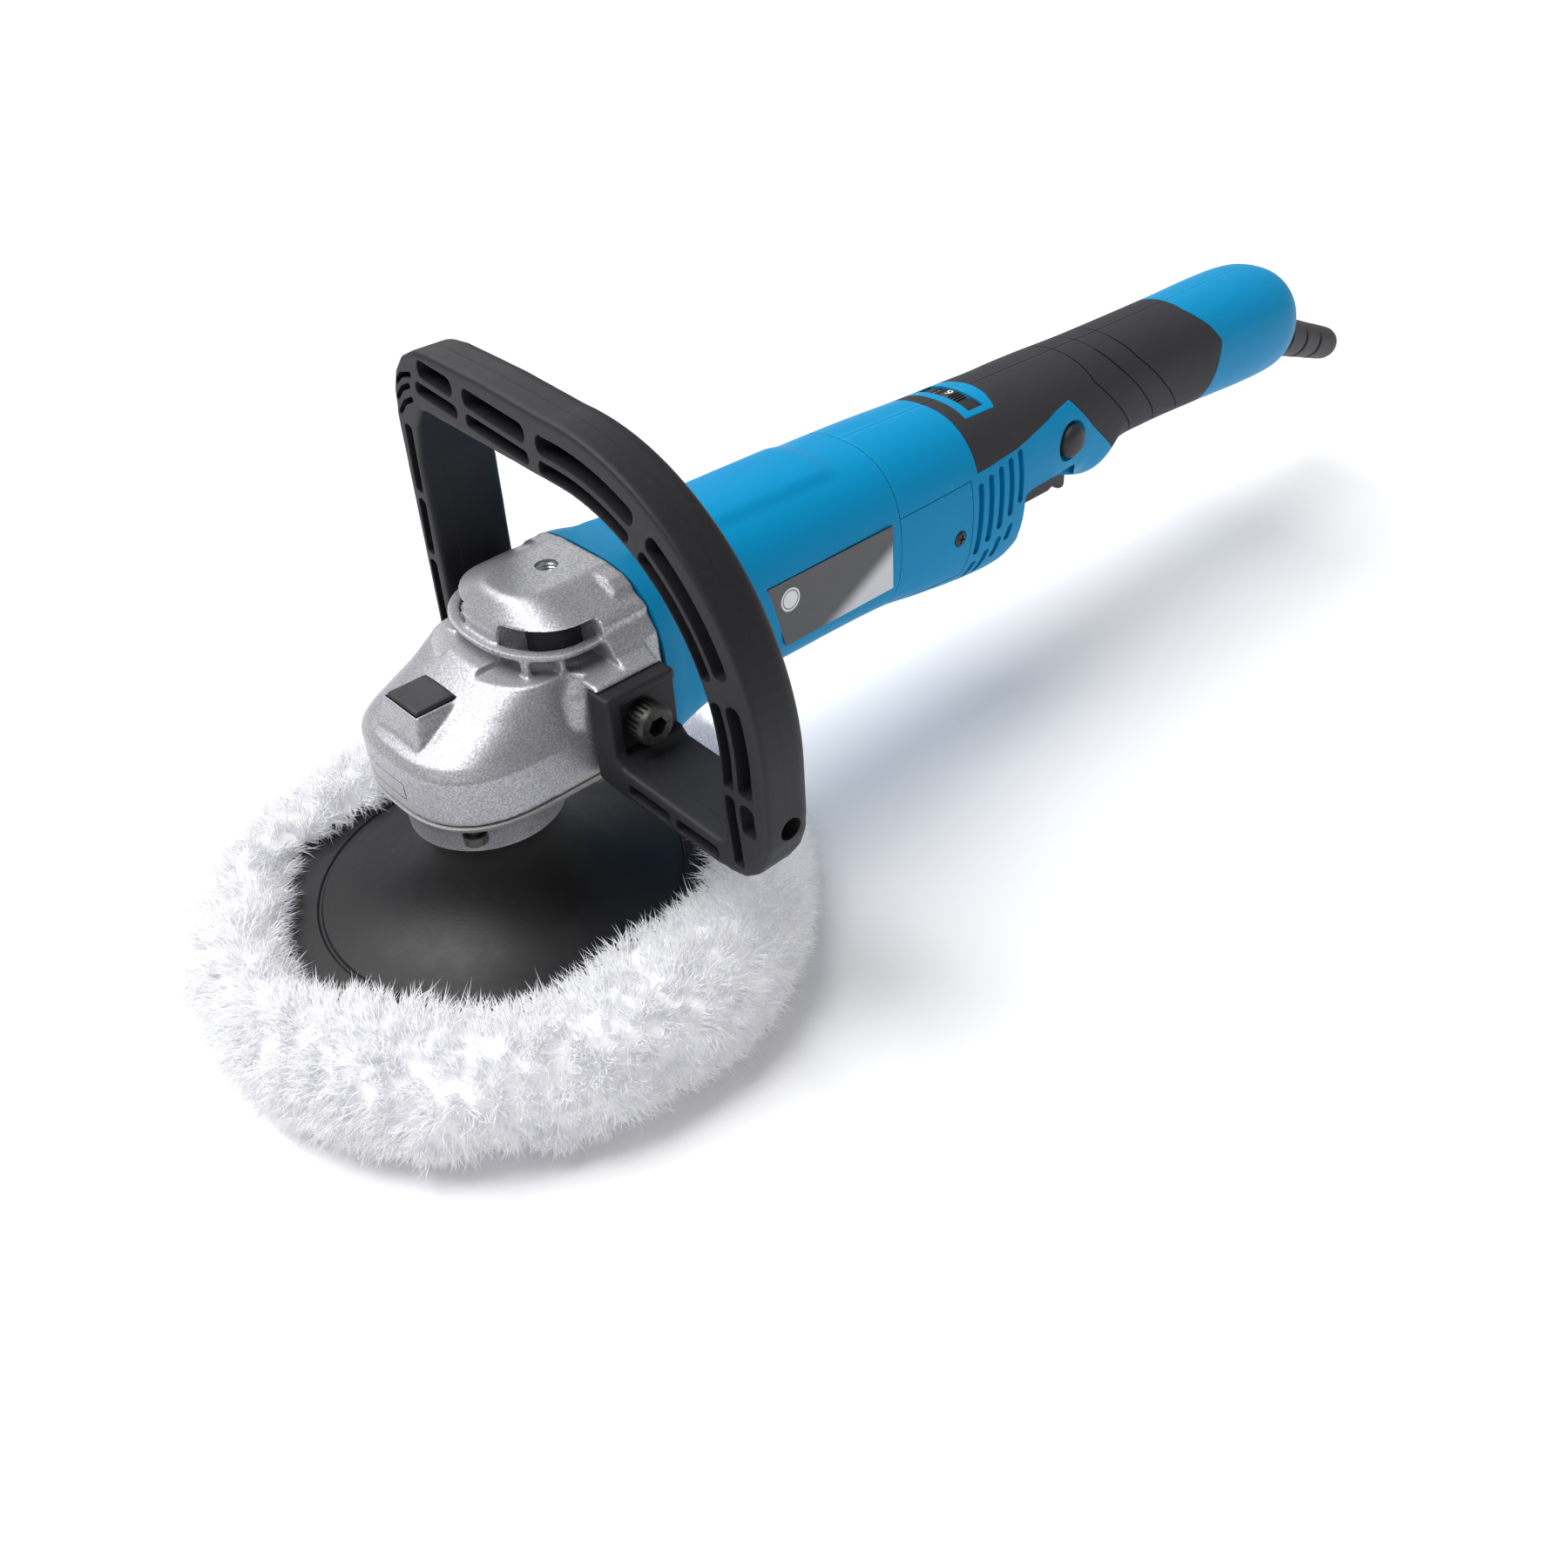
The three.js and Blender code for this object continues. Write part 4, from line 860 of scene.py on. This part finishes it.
TRIGGER_SIDE = [(252, 78.5), (252, 69.5), (253.5, 67.8), (256, 67.2), (279, 67.2), (281, 68), (282.6, 68.6),
                (284.5, 66.6), (287, 65.4), (289.2, 65.4), (290, 67), (290, 78.5), (262, 80.8)]
trigger_form = prism(TRIGGER_SIDE, "Y", -6.4, 6.4)
rims = [edge for edge in trigger_form.edges if abs(edge.verts[0].co.y - edge.verts[1].co.y) < 0.1]
bmesh.ops.bevel(trigger_form, geom=rims, offset=1.1, offset_type="OFFSET", segments=3, profile=0.5,
                affect="EDGES", material=-1)
trigger = piece_of("switch_trigger", trigger_form)
carve(trigger, rod(1.6, -10, 10, 24, (0, 1, 0), (256, 0, 75)))
fitted(trigger, moulded_nylon, "black_nylon", "trigger", body="trigger_body")
LOCK_DOME = [(0, 29.6), (2, 29.5), (4, 29.1), (5.4, 28.4), (6.3, 27.4), (6.7, 26.2), (6.7, 19), (2.8, 19),
             (2.8, 12), (0, 12)]
lock_on = piece_of("lock_on_dome", turned(LOCK_DOME, 48, (0, -1, 0), LOCK_ON_PLACE))
fitted(lock_on, moulded_nylon, "black_nylon", "lock_on_button", body="lock_on_body")

# Lead sleeve: soft black moulding that guides the mains lead out of the rear, tapering to a rounded open
# end, with three cuts round it.

# Its edges go lighter: partly wear, partly a painted highlight.
soft_black = grained("soft_black", {"Specular IOR Level": 0.5}, (0.0007, 3.0), (22, 22, 25), (50, 50, 54),
                     (0.48, 0.16), (0.00006, 0.0004), 0.5, 0.5)
sleeve_profile = [(3.7, -12), (12.5, -12), (12.5, -9), (9.9, -9), (9.9, 13)]
for cut in (26, 42, 58):
    wide = 10.0 - 0.028 * cut
    sleeve_profile += [(wide, cut - 1.3), (wide - 0.5, cut - 1), (wide - 1.1, cut - 0.7),
                       (wide - 1.1, cut + 0.7), (wide - 0.5, cut + 1), (wide, cut + 1.3)]
sleeve_profile += [(8, 74), (7.8, 77), (7.2, 79.4), (6, 80.7), (4.6, 81), (3.9, 80.4), (3.7, 79), (3.7, -12)]
sleeve = piece_of("lead_sleeve", turned(sleeve_profile, 64, SLEEVE_LINE, SLEEVE_ROOT))
fitted(sleeve, soft_black, "soft_black", "cord_sleeve")

# D-handle: glass-filled black nylon, moulded in one piece. A rounded bow and two flat arms, cored out from
# the front in two rows of pockets with thin webs, with a fine parting line along the crown.

HANDLE_FRONT = 20.0
GRIP_DEPTH = 16.5
ARM_DEPTH = 26.4
BOW_Y, BOW_Z = -37.2, 115.5


def arc(centre, radius, start, end, steps):
    angles = [radians(start + (end - start) * step / steps) for step in range(steps + 1)]
    return [(centre[0] + radius * cos(angle), centre[1] + radius * sin(angle)) for angle in angles]


def drawn_in(outline, distance):
    """The outline moved inwards (it runs anticlockwise), each corner along its middle line."""
    moved = []
    for index, point in enumerate(outline):
        before, after = Vector(outline[index - 1]), Vector(outline[(index + 1) % len(outline)])
        into, away = (Vector(point) - before).normalized(), (after - Vector(point)).normalized()
        inward = Vector((-into.y - away.y, into.x + away.x))
        inward = inward.normalized() if inward.length > 0.01 else Vector((-into.y, into.x))
        reach = min(distance / max(abs(inward.dot(Vector((-into.y, into.x)))), 0.45), distance * 1.8)
        moved.append((point[0] + inward.x * reach, point[1] + inward.y * reach))
    return moved


def anticlockwise(outline):
    area = sum(a[0] * b[1] - b[0] * a[1] for a, b in zip(outline, outline[1:] + outline[:1]))
    return outline if area > 0 else outline[::-1]


def bar(outline, depth, front_round, back_round):
    """A flat bar in the handle's plane with its front and back edges rounded over."""
    turns = [radians(turn) for turn in (0, 30, 60, 90)]
    rings = [(HANDLE_FRONT + front_round * (1 - cos(turn)), front_round - front_round * sin(turn))
             for turn in turns]
    rings += [(HANDLE_FRONT + depth - back_round * (1 - cos(turn)), back_round - back_round * sin(turn))
              for turn in turns[::-1]]
    outline = anticlockwise(outline)
    return loft([[(x, y, z) for y, z in drawn_in(outline, inset)] for x, inset in rings])


bow_outline = [(37.6, 172), (35.4, 175.6), (31, 177.8), (24, 178.4)]
bow_outline += arc((BOW_Y, BOW_Z), 60, 90, 180, 24)
bow_outline += [(-97.2, 88), (-95.4, 80.5), (-93.2, 76.6), (-99, 76.6), (-104.6, 77.9), (-109.6, 81.6),
                (-113, 86.6), (-115.2, 93), (-115.7, 99)]
bow_outline += arc((BOW_Y, BOW_Z), 78.5, 180, 90, 30)
bow_outline += [(-10, 196.2), (18, 197.2), (26, 196.4), (33, 193.2), (38, 188), (41.2, 181.5), (42.6, 174)]
far_arm = [(37, 84), (47, 84), (46.9, 96), (43, 174), (40, 182), (34, 187), (24, 187), (24, 182), (31, 172),
           (34, 160)]
near_arm = [(-36.8, 77.5), (-36.8, 109.6), (-46.8, 109.6), (-46.8, 90), (-50, 87), (-93.5, 84.9),
            (-100, 87), (-104, 84), (-101, 78), (-94, 76), (-46.8, 76.5)]
handle = heap("handle_bar", [bar(bow_outline, GRIP_DEPTH, 1.1, 4.2), bar(far_arm, ARM_DEPTH, 1.2, 1.6),
                             bar(near_arm, ARM_DEPTH, 1.2, 1.6)])
cast(handle, 0.7, 2)
carve(handle, prism([(46.6, 152), (36.4, 185), (36.4, 200), (60, 200), (60, 152)], "Y", 10, 60))
carve(handle, prism([(46.6, -82), (36.3, -102), (36.3, -112), (60, -112), (60, -82)], "Z", 60, 92))


def on_bow(radius, travel):
    """A point of the front face: travel in millimetres from the bend along the top, below 0 in degrees."""
    if travel >= 0:
        return (BOW_Y + travel, BOW_Z + radius + 0.105 * travel)
    if travel >= -90:
        angle = radians(90 - travel)
        return (BOW_Y + radius * cos(angle), BOW_Z + radius * sin(angle))
    return (BOW_Y - radius - 0.1 * max(-travel - 105, 0), BOW_Z + travel + 90)


def pocket(line, width, depth=7.0):
    """A round-ended slot along a line in the handle's plane, cut from the front."""
    left, right = [], []
    for index, point in enumerate(line):
        before, after = Vector(line[max(index - 1, 0)]), Vector(line[min(index + 1, len(line) - 1)])
        along = (after - before).normalized() * width / 2
        left.append((point[0] - along.y, point[1] + along.x))
        right.append((point[0] + along.y, point[1] - along.x))
    ends = []
    for at, towards in ((line[0], line[1]), (line[-1], line[-2])):
        out = (Vector(at) - Vector(towards)).normalized() * width / 2
        side = Vector((-out.y, out.x))
        ends.append([tuple(Vector(at) + out * cos(radians(turn)) * 0.75 + side * sin(radians(turn)))
                     for turn in (-60, -30, 0, 30, 60)])
    mouth_ring = anticlockwise(left[::-1] + ends[0] + right + ends[1])
    return loft([[(HANDLE_FRONT - 1, y, z) for y, z in mouth_ring],
                 [(HANDLE_FRONT + depth, y, z) for y, z in drawn_in(mouth_ring, 0.45)]])


OUTER_ROW = ((62, 42.6), (39.4, 8.5), (5.5, -31), (-33.8, -68.2), (-72.6, -98.6), (-100.2, -111.5))
INNER_ROW = ((65, 42.2), (39.4, 8.5), (5.5, -31), (-33.8, -68.2), (-72.6, -98.6), (-100.2, -125))
for radius, width, row in ((70.2, 6.0, OUTER_ROW), (63.4, 4.4, INNER_ROW)):
    for start, end in row:
        inset = copysign(width / 2 * (1 if start > 0 else 0.8), end - start)
        start, end = start + inset, end - inset
        line = [on_bow(radius, start + (end - start) * step / 12) for step in range(13)]
        carve(handle, pocket(line, width))
ARM_POCKETS = (([(-54, 81.2), (-70.2, 80.6)], 4.6), ([(-76, 80.4), (-92, 80.1)], 4.6),
               ([(37.4, 170), (39, 150)], 4.2), ([(39.3, 145), (40.8, 128)], 4.2),
               ([(41.2, 123), (42.4, 100)], 4.2), ([(38.6, 184.2), (34.4, 187.4), (29, 188.8)], 1.8),
               ([(39.6, 179.2), (35.6, 183), (31, 185)], 1.8),
               ([(39.8, 174.6), (35.8, 178.6), (31, 180.8)], 1.8))
for line, width in ARM_POCKETS:
    carve(handle, pocket(line, width))
carve(handle, rod(4.4, -60, 60, 32, (0, 1, 0), BOLT_PLACE))
carve(handle, rod(3.6, -125, -106, 32, (0, 1, 0), (HANDLE_FRONT + GRIP_DEPTH / 2, 0, 97)))
carve(handle, block((24.6, -60, 88.6), (50, -44.6, 106.2)))

glass_nylon = Finish("glass_nylon", {"Specular IOR Level": 0.35})
fibre = glass_nylon.grain(0.0011, 4.0)
haze = glass_nylon.grain(0.03, 3.0)
# The colour lightens on outer edges: partly wear, partly a painted highlight.
glass_nylon.look(0.45 * fibre + 0.25 * haze + 0.45 * glass_nylon.worn(), (17, 17, 20), (42, 42, 47),
                 0.42 + 0.18 * fibre + 0.06 * haze)
parting = 1 - glass_nylon.between(abs(glass_nylon.where("X") - 0.0272), 0.0, 0.00012)
glass_nylon.relief(0.25 * fibre + 2.0 * parting, 0.00008, 0.0006)
fitted(handle, glass_nylon, "black_nylon", "d_handle", sharp=40)

# Handle bolts: black socket-head cap screws with knurled heads, one through each arm into the gear case.

for side, name in ((-1, "left"), (1, "right")):
    seat = 47.4 if side > 0 else 44.7
    head = [(0, 34), (3.9, 34), (3.9, seat), (6.2, seat), (6.6, seat + 0.5), (6.6, seat + 6.6),
            (5.8, seat + 7.9), (0, seat + 8)]
    bolt = piece_of("handle_cap_screw_" + name, turned(head, 72, (0, side, 0), BOLT_PLACE))
    carve(bolt, rod(3.4, seat + 3.6, seat + 9, 6, (0, side, 0), BOLT_PLACE))
    for tooth in range(24):
        notch = block((-0.3, side * (seat + 1), 6.25), (0.3, side * (seat + 6), 7.2))
        carve(bolt, swung(notch, radians(15 * tooth), "Y", BOLT_PLACE))
    fitted(bolt, black_oxide, "black_steel", "handle_bolt_" + name)

# Backing pad: a flexible black rubber cone moulded round a threaded steel hub. Its thin rim carries the
# bonnet, and fine rings show where the mould was turned.

pad_profile = [(11.3, 16.6), (24.3, 15.4), (24.3, 8), (85, 8), (87.4, 9), (88, 11), (88, 20), (87, 22),
               (84, 24), (76, 27.5), (62, 29), (61.4, 28.4), (60.6, 28.4), (60, 29.2), (53, 30.4), (46, 32),
               (39.6, 35.2), (34, 39), (29.6, 43.2), (26, 48), (23.4, 52.6), (22, 56), (21, 57), (11.3, 57),
               (11.3, 16.6)]
pad = piece_of("rubber_backing_pad", turned(pad_profile, 128))
pad_rubber = Finish("pad_rubber", {"Specular IOR Level": 0.35})
across, along = pad_rubber.where("X"), pad_rubber.where("Y")
from_axis = (across * across + along * along) ** 0.5
turning = pad_rubber.grain(0.004, 2.0)
dust = pad_rubber.grain(0.0009, 4.0)
rings = Reading(pad_rubber, pad_rubber.node(
    "ShaderNodeMath", {"operation": "SINE"}, {0: from_axis * 5200 + turning * 2}).outputs[0])
# The colour lightens on outer edges: partly wear, partly a painted highlight.
pad_rubber.look(0.35 * dust + 0.25 * turning + 0.3 * pad_rubber.worn(), (9, 9, 11), (30, 30, 34),
                0.34 + 0.14 * turning + 0.1 * dust)
pad_rubber.relief(0.12 * rings + 0.5 * dust, 0.00002, 0.0004)
fitted(pad, pad_rubber, "black_nylon", "backing_pad", body="spindle_body")

# Wool bonnet: a lambswool pile disc with a drawn edge that wraps over the rim of the pad. A soft lumpy
# base carries the pile, which stands out in combed locks and falls ragged over the pad.

EDGE = [(0, 64), (103, 62.6), (121, 69), (133, 78), (150, 69), (178, 74), (211, 60.5), (232, 65),
        (246, 63.5), (272, 57), (304, 67.7), (360, 64)]
BASE_PROFILE = [(0, 2.2), (40, 2.2), (70, 2.2), (86, 2.4), (91.5, 4), (96, 7.5), (98.6, 12), (99.6, 17),
                (99.3, 22), (97.6, 27), (94, 31.4), (89, 34.4), (83.6, 35.8), (78, 35.6), (73, 34),
                (69, 32.2), (66.6, 30.8), (67.4, 30), (70, 29.4), (77, 28.2), (84.6, 24.8), (88.5, 20.3),
                (88.5, 10.8), (85.2, 7.6), (0, 7.6)]


def edge_at(angle):
    for (start, low), (end, high) in zip(EDGE, EDGE[1:]):
        if start <= angle <= end:
            return low + (high - low) * (0.5 - 0.5 * cos(pi * (angle - start) / (end - start)))
    return EDGE[0][1]


def ordered(form):
    """The same form with its corners and faces in one fixed order, so that every run sows the same pile."""
    corners = sorted(form.verts, key=lambda corner: [round(value, 3) for value in corner.co])
    rank = {corner: index for index, corner in enumerate(corners)}
    rings = []
    for face in form.faces:
        ring = [rank[corner] for corner in face.verts]
        start = ring.index(min(ring))
        rings.append(ring[start:] + ring[:start])
    fresh = bmesh.new()
    made = [fresh.verts.new(corner.co) for corner in corners]
    for ring in sorted(rings):
        fresh.faces.new([made[index] for index in ring])
    form.free()
    return fresh


base_form = ordered(turned(BASE_PROFILE, 180))
for corner in base_form.verts:
    x, y, z = corner.co
    reach = (x * x + y * y) ** 0.5
    if reach > 60:
        angle = degrees(atan2(y, x)) % 360
        lump = noise.noise((x * 0.05, y * 0.05, z * 0.05)) * 2.4
        lump += noise.noise((x * 0.14, y * 0.14, z * 0.14)) * 1.2
        if z > 28.3 and reach < 92:
            share = min(1, (92 - reach) / 24)
            moved = reach + share * (edge_at(angle) + 5 - 67)
            rise = max(0, (64 - moved) * 0.16)
            corner.co = (x * moved / reach, y * moved / reach, z + rise + max(-0.6, lump * 0.5) * (z > 31))
        elif reach > 89:
            corner.co = (x * (1 + lump / 100), y * (1 + lump / 100), z)
base = piece_of("wool_bonnet_base", base_form)
# The wool has a faint white emission: a painted glow that lifts the pile out of its own shade.
wool = Finish("bonnet_wool_with_painted_glow", {"Specular IOR Level": 0.1, "Subsurface Weight": 0.6, "Subsurface Scale": 0.004,
                              "Subsurface Radius": (1.0, 1.0, 1.05), "Emission Color": (0.9, 0.89, 1.0, 1.0),
                              "Emission Strength": 0.1})
lock = wool.grain(0.006, 3.0)
strand = wool.grain(0.0012, 3.0)
wool.look(0.6 * lock + 0.4 * strand, (249, 249, 252), (255, 255, 255), 0.8 + 0.15 * strand)
wool.relief(0.6 * lock + 0.4 * strand, 0.0012, 0)
fitted(base, wool, "wool", "wool_bonnet", sharp=180, body="spindle_body")

TUFT_STRANDS = 9
LOCK_LENGTH = 11.5


def tuft_form(seed):
    """A tuft: fine bent hairs that spread from one root and taper to a point."""
    chance = Random(seed)
    tuft = bmesh.new()
    for hair in range(TUFT_STRANDS):
        lean = Vector((chance.uniform(-0.3, 0.3), chance.uniform(-0.3, 0.3), 1)).normalized()
        root = Vector((chance.uniform(-1.8, 1.8), chance.uniform(-1.8, 1.8), -0.6))
        bend = Vector((chance.uniform(-1.6, 1.6), chance.uniform(-1.6, 1.6), 0))
        length = LOCK_LENGTH * chance.uniform(0.65, 1.0)
        made = bmesh.ops.create_cone(tuft, cap_ends=False, segments=3, radius1=0.31, radius2=0.26, depth=1)
        for corner in made["verts"]:
            upper = corner.co.z > 0
            flat = Vector((corner.co.x, corner.co.y, 0))
            corner.co = root + flat + (lean * length * 0.55 + bend * 0.5 if upper else Vector((0, 0, 0)))
        top = [edge for corner in made["verts"] for edge in corner.link_edges
               if edge.is_boundary and all((item.co - root).length > 3 for item in edge.verts)]
        tip = bmesh.ops.extrude_edge_only(tuft, edges=list(dict.fromkeys(top)))
        points = [item for item in tip["geom"] if isinstance(item, bmesh.types.BMVert)]
        bmesh.ops.pointmerge(tuft, verts=points, merge_co=root + lean * length + bend * 2)
    return tuft


def pile(name, seed, density):
    """Sows tufts over the base and combs them: each points out, swept by slow noise, pressed flat below."""
    sprig = piece_of("sprig", tuft_form(seed))
    sprig.data.transform(Matrix.Scale(MM, 4))
    tree = bpy.data.node_groups.new("sow_" + name, "GeometryNodeTree")
    tree.interface.new_socket("Geometry", in_out="INPUT", socket_type="NodeSocketGeometry")
    tree.interface.new_socket("Geometry", in_out="OUTPUT", socket_type="NodeSocketGeometry")

    def made(kind, settings, sockets):
        return node_in(tree, kind, settings, sockets).outputs

    def vector(operation, *values, **factor):
        return made("ShaderNodeVectorMath", {"operation": operation}, dict(enumerate(values), **factor))[0]

    source = made("NodeGroupInput", {}, {})[0]
    sown = made("GeometryNodeDistributePointsOnFaces", {}, {"Mesh": source, "Density": density, "Seed": seed})
    sweep = made("ShaderNodeTexNoise", {}, {"Scale": 42.0, "Detail": 1.0})["Color"]
    swept = vector("SCALE", vector("SUBTRACT", sweep, (0.5, 0.5, 0.54)), Scale=1.25)
    held = vector("MAXIMUM", sown["Normal"], (-1, -1, 0.0))
    level = vector("MAXIMUM", vector("ADD", held, swept), (-9, -9, -0.12))
    turn = made("FunctionNodeAlignRotationToVector", {"axis": "Z"}, {"Vector": level})[0]
    spin = made("FunctionNodeRandomValue", {"data_type": "FLOAT_VECTOR"},
                {0: (-0.25, -0.25, 0), 1: (0.25, 0.25, 6.28), "Seed": seed})[0]
    ruffled = made("FunctionNodeRotateRotation", {"rotation_space": "LOCAL"}, {0: turn, 1: spin})[0]
    size = made("FunctionNodeRandomValue", {"data_type": "FLOAT"}, {2: 0.7, 3: 1.05, "Seed": seed + 1})[1]
    tuft = made("GeometryNodeObjectInfo", {}, {"Object": sprig})["Geometry"]
    set_out = made("GeometryNodeInstanceOnPoints", {}, {
        "Points": sown["Points"], "Instance": tuft, "Rotation": ruffled, "Scale": size})[0]
    real = made("GeometryNodeRealizeInstances", {}, {"Geometry": set_out})[0]
    place = made("GeometryNodeInputPosition", {}, {})[0]
    pressed = vector("MULTIPLY_ADD", place, (1, 1, 0.04), (0, 0, 0.0006))
    rested = made("GeometryNodeSetPosition", {}, {
        "Geometry": real, "Position": vector("MAXIMUM", place, pressed)})[0]
    made("NodeGroupOutput", {}, {0: rested})
    fur = bpy.data.objects.new(name, base.data.copy())
    bpy.context.collection.objects.link(fur)
    fur.modifiers.new("sow", "NODES").node_group = tree
    settled(fur)
    bpy.data.objects.remove(sprig)
    coated(wool, fur)
    fur.data.shade_smooth()
    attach(fur, "spindle_body")


PILE_SEED = 10
TUFTS_PER_SQUARE_METRE = 22500.0
for number in range(1, 6):
    pile(f"wool_pile_{number}", PILE_SEED + number, TUFTS_PER_SQUARE_METRE)

bpy.context.view_layer.update()
